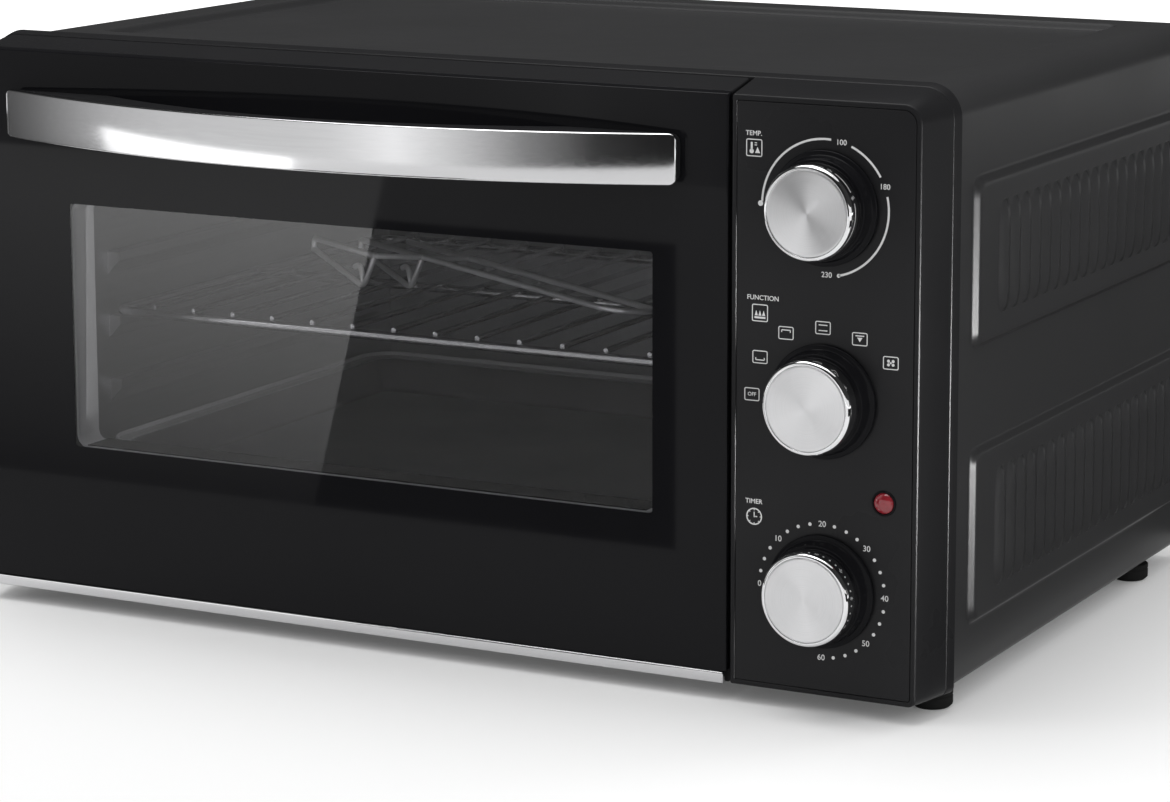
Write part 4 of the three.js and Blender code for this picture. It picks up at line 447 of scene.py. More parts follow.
def piece(name, part, material, body, replaces=(), smooth=35.0):
    """A named object from points in metres and faces, on its body and with its finish."""
    points, faces = part
    mesh = bpy.data.meshes.new(name)
    mesh.from_pydata([Vector(point) for point in points], [], faces)
    work = bmesh.new()
    work.from_mesh(mesh)
    bmesh.ops.remove_doubles(work, verts=work.verts, dist=SAME_POINT)
    bmesh.ops.recalc_face_normals(work, faces=work.faces)
    work.to_mesh(mesh)
    work.free()
    mesh.materials.append(material)
    mesh.shade_smooth()
    mesh.set_sharp_from_angle(angle=math.radians(smooth))
    made = bpy.data.objects.new(name, mesh)
    scene.collection.objects.link(made)
    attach(made, body)
    if replaces:
        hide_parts(*replaces)
    return made


# %% [markdown]
# The door and the control panel share one front plane, and every depth on the oven is counted from it.
# Their flanks flare out towards the case, so an outline is asked for by its depth and its inset.

# %% Outlines of the front
GLASS_LOW, GLASS_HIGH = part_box("door_glass")
PANEL_LOW, PANEL_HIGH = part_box("control_panel")
FRAME_LOW, FRAME_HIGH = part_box("front_frame")
FRONT_Y = GLASS_LOW.y
FRONT_DEPTH = FRAME_HIGH.y - FRONT_Y
FLARE = 7 * MM
FLARE_SLOPE = FLARE / FRONT_DEPTH
FRONT_CORNER = 9 * MM
LOW_CORNER = 4 * MM
SHARP_CORNER = 1 * MM
FRONT_RIGHT = FRAME_HIGH.x - FLARE
FRONT_LEFT = -FRONT_RIGHT
FRONT_TOP = FRAME_HIGH.z - FLARE
FRONT_LOW = FRAME_LOW.z


def rounded(left, right, low, high, radii, steps=10):
    """A rectangle's outline with its own corner radii: low left, low right, high right, high left."""
    low_left, low_right, high_right, high_left = radii
    corners = (
        (left + low_left, low + low_left, low_left, 180),
        (right - low_right, low + low_right, low_right, 270),
        (right - high_right, high - high_right, high_right, 0),
        (left + high_left, high - high_left, high_left, 90),
    )
    outline = []
    for x, z, radius, start in corners:
        for step in range(steps + 1):
            angle = math.radians(start + 90 * step / steps)
            outline.append((x + radius * math.cos(angle), z + radius * math.sin(angle)))
    return outline


def flared(depth, inset, left, right, low, open_left, open_right):
    """The front's outline at a depth, where only its outer flanks and its top flare."""
    flare = FLARE_SLOPE * max(depth, 0) - inset
    corner = FRONT_CORNER + flare
    low_corner = max(LOW_CORNER - inset, SHARP_CORNER)
    x0 = left - flare if open_left else left + inset
    x1 = right + flare if open_right else right - inset
    radii = (
        low_corner if open_left else SHARP_CORNER, low_corner if open_right else SHARP_CORNER,
        corner if open_right else SHARP_CORNER, corner if open_left else SHARP_CORNER,
    )
    return rounded(x0, x1, low + inset, FRONT_TOP + flare, radii)


def ring_at(outline, depth):
    """An outline in X and Z as a ring at a depth behind the front plane."""
    return [(x, FRONT_Y + depth, z) for x, z in outline]


def front_ring(depth, inset):
    """The whole front."""
    return ring_at(flared(depth, inset, FRONT_LEFT, FRONT_RIGHT, FRONT_LOW, True, True), depth)


def glass_ring(depth, inset):
    """The door's glass."""
    return ring_at(flared(depth, inset, FRONT_LEFT, GLASS_HIGH.x, GLASS_LOW.z, True, False), depth)


def panel_ring(depth, inset):
    """The control panel."""
    return ring_at(flared(depth, inset, PANEL_LOW.x, FRONT_RIGHT, PANEL_LOW.z, False, True), depth)


print("front", round(FRONT_RIGHT * 2 / MM, 1), "by", round((FRONT_TOP - FRONT_LOW) / MM, 1), "mm")

# %% [markdown]
# A real moulded edge is never sharp. Each plate's edge is rounded in small steps, and one more ring just
# inside the flat face keeps the smooth shading from spreading over it.

# %% Plates with rounded edges
EDGE_STEPS = 4
SUPPORT = 0.5 * MM


def edge_steps(ring, face, inward, edge, inset=0.0):
    """Rings round one rounded edge, from the flat face out to the flank."""
    rings = [ring(face, inset + edge + SUPPORT)]
    for step in range(EDGE_STEPS + 1):
        angle = math.pi / 2 * step / EDGE_STEPS
        depth = face + inward * edge * (1 - math.cos(angle))
        rings.append(ring(depth, inset + edge * (1 - math.sin(angle))))
    return rings


def soft_plate(ring, front, back, edge, inset=0.0):
    """A plate between two depths with both edges rounded."""
    front_edge = edge_steps(ring, front, 1, edge, inset)
    back_edge = edge_steps(ring, back, -1, edge, inset)
    return skin(front_edge + back_edge[::-1])


# %% [markdown]
# The door's front is one sheet of clear glass. Its border looks black because enamel is fired onto the
# glass, and the clear window is where the enamel stops. One black sheet with a window painted on it would
# be quicker, but it would lose the glass's depth. So the enamel is a thin piece of its own that also
# runs round the ground edge, where bare glass would glow with light from above.

# %% Door glass and its enamel
GLASS_DEPTH = GLASS_HIGH.y - GLASS_LOW.y
GLASS_EDGE = 0.5 * MM
ENAMEL_DEPTH = 0.1 * MM
PANE_START = 0.15 * MM
PANE_SHY = 0.3 * MM
WINDOW_LEFT_INSET = 57.2 * MM
WINDOW_RIGHT_INSET = 39.2 * MM
WINDOW_LOW_INSET = 78.3 * MM
WINDOW_TOP_INSET = 76.7 * MM
WINDOW_CORNER = 1.5 * MM


def window_ring(depth, grown=0.0):
    """The window's outline at a depth."""
    outline = rounded(
        FRONT_LEFT + WINDOW_LEFT_INSET - grown, GLASS_HIGH.x - WINDOW_RIGHT_INSET + grown,
        FRONT_LOW + WINDOW_LOW_INSET - grown, FRONT_TOP - WINDOW_TOP_INSET + grown,
        [WINDOW_CORNER + grown] * 4,
    )
    return ring_at(outline, depth)


pane = soft_plate(glass_ring, PANE_START, GLASS_DEPTH, GLASS_EDGE, PANE_SHY)
piece("door_pane", pane, pane_glass, "door", ["door_glass"])
enamel_rings = [
    window_ring(ENAMEL_DEPTH), window_ring(0.0), window_ring(0.0, SUPPORT),
    *edge_steps(glass_ring, 0.0, 1, GLASS_EDGE),
    glass_ring(GLASS_DEPTH, 0.0), glass_ring(GLASS_DEPTH, PANE_SHY - ENAMEL_DEPTH),
    glass_ring(GLASS_EDGE, PANE_SHY - ENAMEL_DEPTH), glass_ring(ENAMEL_DEPTH, GLASS_EDGE + PANE_SHY),
]
piece("door_enamel", skin(enamel_rings, loop=True), glass_enamel, "door", ["door_glass"])
print("glass", round(GLASS_DEPTH / MM, 2), "mm thick")

# %% [markdown]
# Behind the pane the bright inner panel is turned inwards all round the window. A thin black strip on its
# lower lip is painted shade: it stands for the dark cooking space that the lip mirrors, so that no light
# line shows along the window's foot. It is a flat bar with softened edges, lofted from front to back like
# the pane.

# %% Painted shade on the window's lower lip
SHADE_STRIP_THICK = 0.5 * MM
SHADE_STRIP_EDGE = 0.15 * MM
SHADE_STRIP_END = 5 * MM
SHADE_STRIP_PLAY = 0.2 * MM
SHADE_STRIP_LEFT = FRONT_LEFT + WINDOW_LEFT_INSET + SHADE_STRIP_END
SHADE_STRIP_RIGHT = GLASS_HIGH.x - WINDOW_RIGHT_INSET - SHADE_STRIP_END
INNER_LOW, INNER_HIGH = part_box("door_inner_panel")
LIP_FRONT = INNER_LOW.y - FRONT_Y + SHADE_STRIP_PLAY
LIP_BACK = INNER_HIGH.y - FRONT_Y - SHADE_STRIP_PLAY
LIP_TOP = FRONT_LOW + WINDOW_LOW_INSET


def seal_ring(depth, inset):
    """The shade strip's outline at a depth."""
    outline = rounded(
        SHADE_STRIP_LEFT + inset, SHADE_STRIP_RIGHT - inset, LIP_TOP + inset, LIP_TOP + SHADE_STRIP_THICK - inset,
        [SHADE_STRIP_EDGE - 0.5 * inset] * 4, 2,
    )
    return ring_at(outline, depth)


# Painted shade: a black strip on the lower lip, where the lip would only mirror the dark cooking space.
shade_strip = soft_plate(seal_ring, LIP_FRONT, LIP_BACK, SHADE_STRIP_EDGE)
piece("window_seal", shade_strip, foot_rubber, "door")
print("window seal", round((LIP_BACK - LIP_FRONT) / MM, 1), "mm deep")

# %% [markdown]
# A bright metal strip closes the door's foot. It is a drawn profile: one rounded section carried along X,
# with its ends slightly softened.

# %% Door trim strip
STRIP_LOW, STRIP_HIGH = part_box("door_trim_strip")
STRIP_CORNER = 1 * MM
STRIP_END = 0.4 * MM


def strip_section(x, inset):
    """The strip's section at one place along X."""
    section = rounded(
        STRIP_LOW.y + inset, STRIP_HIGH.y - inset, STRIP_LOW.z + inset, STRIP_HIGH.z - inset,
        [STRIP_CORNER, STRIP_CORNER / 2, STRIP_CORNER / 2, STRIP_CORNER], steps=6,
    )
    return [(x, y, z) for y, z in section]


strip_rings = [
    strip_section(STRIP_LOW.x, STRIP_END), strip_section(STRIP_LOW.x + STRIP_END, 0.0),
    strip_section(STRIP_HIGH.x - STRIP_END, 0.0), strip_section(STRIP_HIGH.x, STRIP_END),
]
piece("door_strip", skin(strip_rings), silver_bar, "door", ["door_trim_strip"])
print("strip", round((STRIP_HIGH.x - STRIP_LOW.x) / MM, 1), "mm long")

# %% [markdown]
# The handle is a bowed metal bar on a black body. Seen from above it follows one arc. Its section is a
# flat plate with a rounded rim, and its ends have small corners, so the section shrinks towards each end.

# %% Handle bar
BAR_LOW, BAR_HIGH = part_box("handle_bar")
BAR_HALF_LENGTH = (BAR_HIGH.x - BAR_LOW.x) / 2
BAR_MIDDLE = (BAR_HIGH.x + BAR_LOW.x) / 2
BAR_HEIGHT = BAR_HIGH.z - BAR_LOW.z
BAR_CENTRE_Z = (BAR_HIGH.z + BAR_LOW.z) / 2
BAR_REACH = 46 * MM
BAR_END_REACH = 6 * MM
BAR_THICKNESS = 2 * MM
BAR_CORNER = 4 * MM
BAR_RIM = 1.1 * MM
BAR_BACK_EDGE = 0.2 * MM
BAR_END_STEPS = 10
BAR_RUN_STEPS = 30
BAR_RISE = BAR_REACH - BAR_END_REACH
BOW_RADIUS = (BAR_HALF_LENGTH ** 2 + BAR_RISE ** 2) / (2 * BAR_RISE)
BOW_HALF_ANGLE = math.asin(BAR_HALF_LENGTH / BOW_RADIUS)
BOW_CENTRE_Y = FRONT_Y - BAR_REACH + BOW_RADIUS


def on_bow(angle, depth, z):
    """A point at an angle along the bow and a depth behind the bar's face."""
    radius = BOW_RADIUS - depth
    return (BAR_MIDDLE + radius * math.sin(angle), BOW_CENTRE_Y - radius * math.cos(angle), z)


def corner_loss(distance, radius):
    """How much a rounded corner takes off at a distance from the end."""
    if distance >= radius:
        return 0.0
    return radius - math.sqrt(max(radius ** 2 - (radius - distance) ** 2, 0.0))


def bar_section(distance, side):
    """The bar's section at a distance along the arc from one end."""
    half = BAR_HEIGHT / 2 - corner_loss(distance, BAR_CORNER)
    thinner = corner_loss(distance, BAR_RIM)
    corners = [BAR_RIM, BAR_BACK_EDGE, BAR_BACK_EDGE, BAR_RIM]
    outline = rounded(thinner, BAR_THICKNESS, -half, half, corners, steps=5)
    angle = side * (BOW_HALF_ANGLE - distance / BOW_RADIUS)
    return [on_bow(angle, depth, BAR_CENTRE_Z + up) for depth, up in outline]


arc_length = BOW_RADIUS * BOW_HALF_ANGLE
half_places = []
for step in range(BAR_END_STEPS + 1):
    half_places.append(BAR_CORNER * (1 - math.cos(math.pi / 2 * step / BAR_END_STEPS)))
for step in range(1, BAR_RUN_STEPS + 1):
    half_places.append(BAR_CORNER + (arc_length - BAR_CORNER) * step / BAR_RUN_STEPS)
bar_rings = [bar_section(distance, -1) for distance in half_places]
bar_rings += [bar_section(distance, 1) for distance in half_places[-2::-1]]
piece("handle_plate", skin(bar_rings), silver_bar, "door", ["handle_bar"], smooth=50)
print("handle bow radius", round(BOW_RADIUS / MM, 1), "mm")

# %% [markdown]
# The control panel is a moulded cover with a shallow pocket in its face, and the printed film lies in
# that pocket. The cover is one closed skin: the pocket's floor, the lip round it, the outer flank and the
# hollow back.

# %% Control panel and its film
PANEL_BACK = PANEL_HIGH.y - FRONT_Y
PANEL_WALL = 2.4 * MM
PANEL_EDGE = 0.9 * MM
FILM_MARGIN = 2.5 * MM
FILM_POCKET = 1.1 * MM
FILM_THICKNESS = 0.8 * MM
FILM_ROOM = 0.3 * MM
LIP_EDGE = 0.2 * MM
panel_rings = [
    panel_ring(FILM_POCKET, FILM_MARGIN + SUPPORT), panel_ring(FILM_POCKET, FILM_MARGIN),
    panel_ring(LIP_EDGE, FILM_MARGIN), panel_ring(0.0, FILM_MARGIN - LIP_EDGE),
    *edge_steps(panel_ring, 0.0, 1, PANEL_EDGE),
    *edge_steps(panel_ring, PANEL_BACK, -1, LIP_EDGE)[:0:-1],
    panel_ring(PANEL_BACK, PANEL_WALL), panel_ring(PANEL_WALL, PANEL_WALL),
]
piece("panel_moulding", skin(panel_rings), front_paint, "oven", ["control_panel"])
film = soft_plate(panel_ring, 0.0, FILM_THICKNESS, LIP_EDGE, FILM_MARGIN + FILM_ROOM)
piece("panel_film", film, panel_film, "oven", ["panel_overlay"])
print("panel", round((FRONT_RIGHT - PANEL_LOW.x) / MM, 1), "mm wide, film", round(FILM_THICKNESS / MM, 1))

# %% [markdown]
# The front frame is the pressed steel that everything hangs on: a plate with the oven's mouth in it and a
# rim turned back to meet the case. It is one closed skin too, from the mouth out over the rim.

# %% Front frame
FRAME_FRONT = FRAME_LOW.y - FRONT_Y
FRAME_SHEET = 1.6 * MM
FRAME_RIM_EDGE = 0.7 * MM
CAVITY_LOW, CAVITY_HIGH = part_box("cavity_floor")
MOUTH_PLAY = 0.3 * MM
MOUTH_LEFT = CAVITY_LOW.x - MOUTH_PLAY
MOUTH_RIGHT = CAVITY_HIGH.x + MOUTH_PLAY
MOUTH_LOW = CAVITY_HIGH.z
MOUTH_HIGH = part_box("cavity_roof")[0].z
MOUTH_CORNER = 5 * MM
MOUTH_LIP = 0.4 * MM


def mouth_ring(depth, grown=0.0):
    """The mouth's outline at a depth."""
    outline = rounded(MOUTH_LEFT - grown, MOUTH_RIGHT + grown, MOUTH_LOW - grown, MOUTH_HIGH + grown,
                      [MOUTH_CORNER + grown] * 4)
    return ring_at(outline, depth)


plate_back = FRAME_FRONT + FRAME_SHEET
frame_skin = [
    mouth_ring(plate_back), mouth_ring(FRAME_FRONT + MOUTH_LIP), mouth_ring(FRAME_FRONT, MOUTH_LIP),
    mouth_ring(FRAME_FRONT, MOUTH_LIP + SUPPORT),
    *edge_steps(front_ring, FRAME_FRONT, 1, FRAME_RIM_EDGE),
    front_ring(FRONT_DEPTH - LIP_EDGE, 0.0), front_ring(FRONT_DEPTH, LIP_EDGE),
    front_ring(FRONT_DEPTH, FRAME_SHEET), front_ring(plate_back, FRAME_SHEET),
]
piece("front_frame_pressing", skin(frame_skin, loop=True), front_paint, "oven", ["front_frame"])
print("mouth", round((MOUTH_RIGHT - MOUTH_LEFT) / MM, 1), "by", round((MOUTH_HIGH - MOUTH_LOW) / MM, 1))

# %% [markdown]
# The case is the piece that takes the most skill: one steel sheet bent over both sides and the top. A
# press raises two fields on each side and sinks a tray into the top, and each louvre is slit and pushed
# out. It could be cut out with booleans, but pressed steel flows. So the sheet is a grid: one cross-section
# carried from front to back, and every point is pushed along the sheet's own normal. The grid is fine only
# where the sheet bends, and coarse where it is flat.

# %% Cross-section of the case
WRAP_LOW, WRAP_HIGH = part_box("outer_wrap")
FIELD_RISE = 3 * MM
LOUVRE_RISE = 2.8 * MM
CASE_HALF = WRAP_HIGH.x - FIELD_RISE - LOUVRE_RISE
CASE_LIFT = WRAP_LOW.z
CASE_TOP = WRAP_HIGH.z
CASE_FRONT = WRAP_LOW.y - FRONT_Y
CASE_BACK = WRAP_HIGH.y - FRONT_Y
CASE_CORNER = 14 * MM
CASE_LOW_CORNER = 4 * MM
CASE_FLANGE = 12 * MM
REAR_FLANGE = 8 * MM
CASE_SHEET = 1 * MM
FIELD_CORNER = 8 * MM
FIELD_SHOULDER = 3.6 * MM
FIELD_FRONT = CASE_FRONT + 20.7 * MM
FIELD_BACK = CASE_BACK - 16.3 * MM
UPPER_FIELD = (CASE_TOP - 125 * MM, CASE_TOP - 43 * MM)
LOWER_FIELD = (CASE_LIFT + 26 * MM, CASE_LIFT + 112 * MM)
LOUVRE_END_ROOM = 14 * MM
LOUVRE_WIDTH = 8.4 * MM
LOUVRE_PITCH = 13.5 * MM
LOUVRE_COUNT = 20
LOUVRE_FIRST = FIELD_FRONT + 34.4 * MM
LOUVRE_FULL_SHARE = 0.5
SLIT_LEAST = 0.35 * MM
SLIT_GAP = 0.02 * MM
RECESS_DEPTH = 4 * MM
RECESS_HALF = CASE_HALF - 34 * MM
RECESS_FRONT = CASE_FRONT + 35.4 * MM
RECESS_BACK = CASE_BACK - 21.1 * MM
RECESS_CORNER = 8 * MM
SHOULDER_SHARES = (0.0, 0.12, 0.26, 0.42, 0.58, 0.74, 0.88, 1.0)
CORNER_SHARES = (0.45, 0.7, 1.0, 1.3, 1.7, 2.2)
SHOULDER_OUTSIDE = 0.4
LOUVRE_END_SHARES = (0.25, 0.5, 0.62, 0.72, 0.81, 0.88, 0.94, 0.98, 1.0, 1.04)
SIDE_LINE_ROOM = 0.35 * MM
TOP_LINE_ROOM = 0.4 * MM
LOW_CORNER_STEPS = 6
TOP_CORNER_STEPS = 10


def shoulder_lines(edge, inward, width, corner):
    """Grid lines across a pressed shoulder and through the rounded corner behind it."""
    lines = [edge + inward * width * share for share in SHOULDER_SHARES]
    lines += [edge + inward * corner * share for share in CORNER_SHARES]
    lines.append(edge - inward * width * SHOULDER_OUTSIDE)
    return lines


def louvre_end_lines(low, high):
    """Grid lines through the rounded ends of a field's louvres."""
    middle = (low + high) / 2
    half = (high - low) / 2 - LOUVRE_END_ROOM
    lines = [middle]
    for share in LOUVRE_END_SHARES:
        lines += [middle - half * share, middle + half * share]
    return lines


def thinned(lines, least, fixed=()):
    """Sorted lines without those that crowd each other. Fixed ones always stay."""
    kept = sorted(set(fixed))
    for line in sorted(set(lines)):
        if all(abs(line - other) > least for other in kept):
            kept.append(line)
    return sorted(kept)


side_low = CASE_LIFT + CASE_LOW_CORNER
side_high = CASE_TOP - CASE_CORNER
side_lines = [side_low, side_high]
for low, high in (UPPER_FIELD, LOWER_FIELD):
    side_lines += shoulder_lines(low, 1, FIELD_SHOULDER, FIELD_CORNER)
    side_lines += shoulder_lines(high, -1, FIELD_SHOULDER, FIELD_CORNER)
    side_lines += louvre_end_lines(low, high)
side_lines = thinned(side_lines, SIDE_LINE_ROOM, [side_low, side_high])
top_edge = CASE_HALF - CASE_CORNER
top_lines = shoulder_lines(RECESS_HALF, -1, RECESS_DEPTH, RECESS_CORNER) + [top_edge]
top_lines = thinned([x for x in top_lines if 0 < x <= top_edge], TOP_LINE_ROOM, [top_edge])


def right_half():
    """Points and outward normals of the section's right half, from under the flange up to the top."""
    section = [(CASE_HALF - CASE_FLANGE, CASE_LIFT, 0.0, -1.0)]
    for step in range(LOW_CORNER_STEPS + 1):
        angle = math.radians(-90 + 90 * step / LOW_CORNER_STEPS)
        across, up = math.cos(angle), math.sin(angle)
        x = CASE_HALF - CASE_LOW_CORNER + CASE_LOW_CORNER * across
        section.append((x, CASE_LIFT + CASE_LOW_CORNER + CASE_LOW_CORNER * up, across, up))
    section += [(CASE_HALF, z, 1.0, 0.0) for z in side_lines[1:-1]]
    for step in range(TOP_CORNER_STEPS + 1):
        angle = math.radians(90 * step / TOP_CORNER_STEPS)
        across, up = math.cos(angle), math.sin(angle)
        x = CASE_HALF - CASE_CORNER + CASE_CORNER * across
        section.append((x, CASE_TOP - CASE_CORNER + CASE_CORNER * up, across, up))
    section += [(x, CASE_TOP, 0.0, 1.0) for x in top_lines[-2::-1]]
    return section


right_section = right_half()
left_section = [(-x, z, -across, up) for x, z, across, up in reversed(right_section)]
columns = right_section + [(0.0, CASE_TOP, 0.0, 1.0)] + left_section
print("columns", len(columns))

# %% [markdown]
# The height of the pressing is a plain function of place. A shoulder rises in a straight ramp with softly
# rounded ends, as sheet does over a die. A louvre's hood swells from nothing to its full height at its
# slit, and its two ends are round.

# %% Heights of the pressing
RAMP_SOFTNESS = 0.35


def soft_ramp(share):
    """A ramp from 0 to 1 with rounded ends."""
    share = min(max(share, 0.0), 1.0)
    soft = RAMP_SOFTNESS
    if share < soft:
        return share * share / (2 * soft * (1 - soft))
    if share > 1 - soft:
        return 1 - (1 - share) ** 2 / (2 * soft * (1 - soft))
    return (share - soft / 2) / (1 - soft)


def inside_distance(u, v, u0, u1, v0, v1, corner):
    """How far a place lies inside a rounded rectangle. It is negative outside."""
    across = abs(u - (u0 + u1) / 2) - (u1 - u0) / 2 + corner
    along = abs(v - (v0 + v1) / 2) - (v1 - v0) / 2 + corner
    beyond = math.hypot(max(across, 0.0), max(along, 0.0))
    return corner - beyond - min(max(across, along), 0.0)


def hood_share(z, low, high):
    """A louvre's fullness at a height on its field: 1 in the middle, 0 at its round ends."""
    middle = (low + high) / 2
    reach = abs(z - middle) / ((high - low) / 2 - LOUVRE_END_ROOM)
    if reach >= 1:
        return 0.0
    if reach <= LOUVRE_FULL_SHARE:
        return 1.0
    return math.sqrt(1 - ((reach - LOUVRE_FULL_SHARE) / (1 - LOUVRE_FULL_SHARE)) ** 2)


def hood_height(depth, z, low, high, slit):
    """A louvre's height above its field at a depth in front of its slit."""
    share = hood_share(z, low, high)
    ahead = slit - depth
    if share == 0.0 or ahead < 0 or ahead > LOUVRE_WIDTH * share:
        return 0.0
    along = 1 - ahead / (LOUVRE_WIDTH * share)
    return LOUVRE_RISE * share * math.sin(math.pi / 2 * along)


def side_height(depth, z):
    """How far a side wall is pressed out, without its louvres."""
    height = 0.0
    for low, high in (UPPER_FIELD, LOWER_FIELD):
        inside = inside_distance(depth, z, FIELD_FRONT, FIELD_BACK, low, high, FIELD_CORNER)
        height += FIELD_RISE * soft_ramp(inside / FIELD_SHOULDER)
    return height


def top_height(depth, x):
    """How far the top is pressed in."""
    inside = inside_distance(depth, x, RECESS_FRONT, RECESS_BACK, -RECESS_HALF, RECESS_HALF, RECESS_CORNER)
    return -RECESS_DEPTH * soft_ramp(inside / RECESS_DEPTH)


field_middle = ((FIELD_FRONT + FIELD_BACK) / 2, sum(UPPER_FIELD) / 2)
print("fields pressed out", round(side_height(*field_middle) / MM, 2), "mm")
print("top pressed in", round(top_height(field_middle[0], 0.0) / MM, 2), "mm")

# %% [markdown]
# Going back along the case, rows of the grid lie close at every shoulder and louvre. At a slit two rows lie
# almost in one place: the first follows the hood, the second lies flat on the field behind it.

# %% Rows of the case
HOOD_SHARES = (0.12, 0.28, 0.48, 0.72)
ROW_ROOM = 0.45 * MM
FRONT_ROW = 0.6 * MM
REAR_EDGE = 0.25 * MM
REAR_CORNER = 0.8 * MM
louvre_slits = [LOUVRE_FIRST + index * LOUVRE_PITCH for index in range(LOUVRE_COUNT)]
row_lines = [CASE_FRONT + FRONT_ROW]
row_lines += shoulder_lines(FIELD_FRONT, 1, FIELD_SHOULDER, FIELD_CORNER)
row_lines += shoulder_lines(FIELD_BACK, -1, FIELD_SHOULDER, FIELD_CORNER)
row_lines += shoulder_lines(RECESS_FRONT, 1, RECESS_DEPTH, RECESS_CORNER)
row_lines += shoulder_lines(RECESS_BACK, -1, RECESS_DEPTH, RECESS_CORNER)
for slit in louvre_slits:
    row_lines += [slit - LOUVRE_WIDTH * (1 - share) for share in (0.0, *HOOD_SHARES)]
fixed_rows = [CASE_FRONT, CASE_BACK - REAR_CORNER, *louvre_slits]
rows = []
for line in thinned(row_lines, ROW_ROOM, fixed_rows):
    rows.append((line, line if line in louvre_slits else None))
    if line in louvre_slits:
        rows.append((line + SLIT_GAP, None))
print("rows", len(rows))

# %% [markdown]
# With columns and rows in place, the sheet itself is simple. Every crossing becomes a point. The faces behind
# an open louvre are left out, which leaves a real slit. A modifier gives the skin its thickness.

# %% Case sheet
REAR_BEND = ((REAR_EDGE, CASE_BACK - REAR_EDGE), (REAR_CORNER, CASE_BACK), (REAR_FLANGE, CASE_BACK))
SHEET_SMOOTH = 45.0


def case_point(column, depth, slit):
    """One point of the sheet, pushed out or in along the sheet's normal."""
    x, z, across, up = column
    height = 0.0
    if across in (1.0, -1.0):
        height = side_height(depth, z)
        for low, high in (UPPER_FIELD, LOWER_FIELD):
            for place in louvre_slits:
                if place - LOUVRE_WIDTH <= depth < place or slit == place:
                    height += hood_height(depth, z, low, high, place)
    elif up == 1.0:
        height = top_height(depth, x)
    return (x + across * height, FRONT_Y + depth, z + up * height)


def rear_rows():
    """The sheet's rounded rear edge and the flange turned in behind it."""
    made = []
    for inward, depth in REAR_BEND:
        ring = []
        for x, z, across, up in columns:
            inner_x, inner_z = x - across * inward, z - up * inward
            if z < CASE_LIFT + CASE_LOW_CORNER + MM:
                inner_x = min(max(x, -CASE_HALF + inward), CASE_HALF - inward)
                inner_z = max(z, CASE_LIFT + inward)
            ring.append((inner_x, FRONT_Y + depth, inner_z))
        made.append(ring)
    return made


def behind_hood(first, second):
    """Whether a louvre stands open between two columns."""
    if abs(first[2]) != 1.0 or abs(second[2]) != 1.0:
        return False
    middle = (first[1] + second[1]) / 2
    shares = [hood_share(middle, low, high) for low, high in (UPPER_FIELD, LOWER_FIELD)]
    return max(shares) * LOUVRE_RISE > SLIT_LEAST


def case_sheet():
    """The whole grid, with the faces behind the louvres left out."""
    grid = [[case_point(column, depth, slit) for column in columns] for depth, slit in rows]
    grid += rear_rows()
    width = len(columns)
    points = [point for ring in grid for point in ring]
    faces = []
    for line in range(len(grid) - 1):
        on_slit = line < len(rows) and rows[line][1] is not None
        for side in range(width - 1):
            if on_slit and behind_hood(columns[side], columns[side + 1]):
                continue
            this, ahead = line * width + side, (line + 1) * width + side
            faces.append((this, this + 1, ahead + 1, ahead))
    return points, faces


case = piece("case_sheet", case_sheet(), case_paint, "oven", ["outer_wrap"], SHEET_SMOOTH)
inward_skin = case.modifiers.new("sheet_thickness", "SOLIDIFY")
inward_skin.thickness = CASE_SHEET
inward_skin.offset = -1.0
print("case faces", len(case.data.polygons))

# %% [markdown]
# Each knob is three turned parts: a glossy black base with a skirt, a chromed collar, and a face of
# aluminium with fine grooves cut in circles. A profile turned about the axis gives each one in a few
# points: a radius, and a depth behind the front plane, which is negative in front of it. With 96 steps
# round, the edge of the face stays smooth up close.

# %% Turned parts
TURN_STEPS = 96


def turned_rings(x, z, profile, steps=TURN_STEPS):
    """Rings about a line along Y. The profile's points are a radius and a depth, in millimetres."""
    rings = []
    for radius, depth in profile:
        ring = []
        for step in range(steps):
            angle = 2 * math.pi * step / steps
            across, up = radius * MM * math.cos(angle), radius * MM * math.sin(angle)
            ring.append((x + across, FRONT_Y + depth * MM, z + up))
        rings.append(ring)
    return rings


KNOB_BASE = [
    (20.0, -9.0), (23.1, -9.0), (23.45, -8.9), (23.6, -8.6), (24.5, -3.7), (24.7, -3.2), (25.1, -2.9),
    (25.7, -2.75), (26.4, -2.7), (26.85, -2.5), (27.0, -2.1), (27.0, -0.6), (26.8, -0.35), (26.3, -0.3),
    (20.0, -0.3),
]
KNOB_COLLAR = [
    (20.05, -12.0), (20.05, -20.2), (20.15, -20.4), (20.4, -20.5), (20.9, -20.42), (21.5, -20.1),
    (22.0, -19.5), (22.3, -18.8), (22.4, -18.0), (22.9, -9.5), (22.8, -9.2), (22.5, -9.1), (20.6, -9.1),
]
KNOB_FACE = [
    (18.8, -20.6), (19.4, -20.6), (19.75, -20.54), (19.93, -20.4), (20.0, -20.2), (20.0, -19.0),
    (18.0, -19.0),
]
knob_places = {}
for name in ("temp", "function", "timer"):
    cap_low, cap_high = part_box(name + "_knob_cap")
    x, z = (cap_low.x + cap_high.x) / 2, (cap_low.z + cap_high.z) / 2
    knob_places[name] = (x, z)
    body = name + "_control"
    base = skin(turned_rings(x, z, KNOB_BASE))
    collar = skin(turned_rings(x, z, KNOB_COLLAR), loop=True)
    face = skin(turned_rings(x, z, KNOB_FACE))
    piece(name + "_knob_base", base, knob_black, body, [name + "_knob"], smooth=50)
    piece(name + "_knob_collar", collar, knob_chrome, body, [name + "_knob"], smooth=50)
    piece(name + "_knob_face", face, turned_aluminium, body, [name + "_knob_cap"], smooth=40)
print("knobs", {name: (round(x / MM, 1), round(z / MM, 1)) for name, (x, z) in knob_places.items()})

# %% [markdown]
# The signal lamp is a small dome of dark red plastic in a narrow black ring.

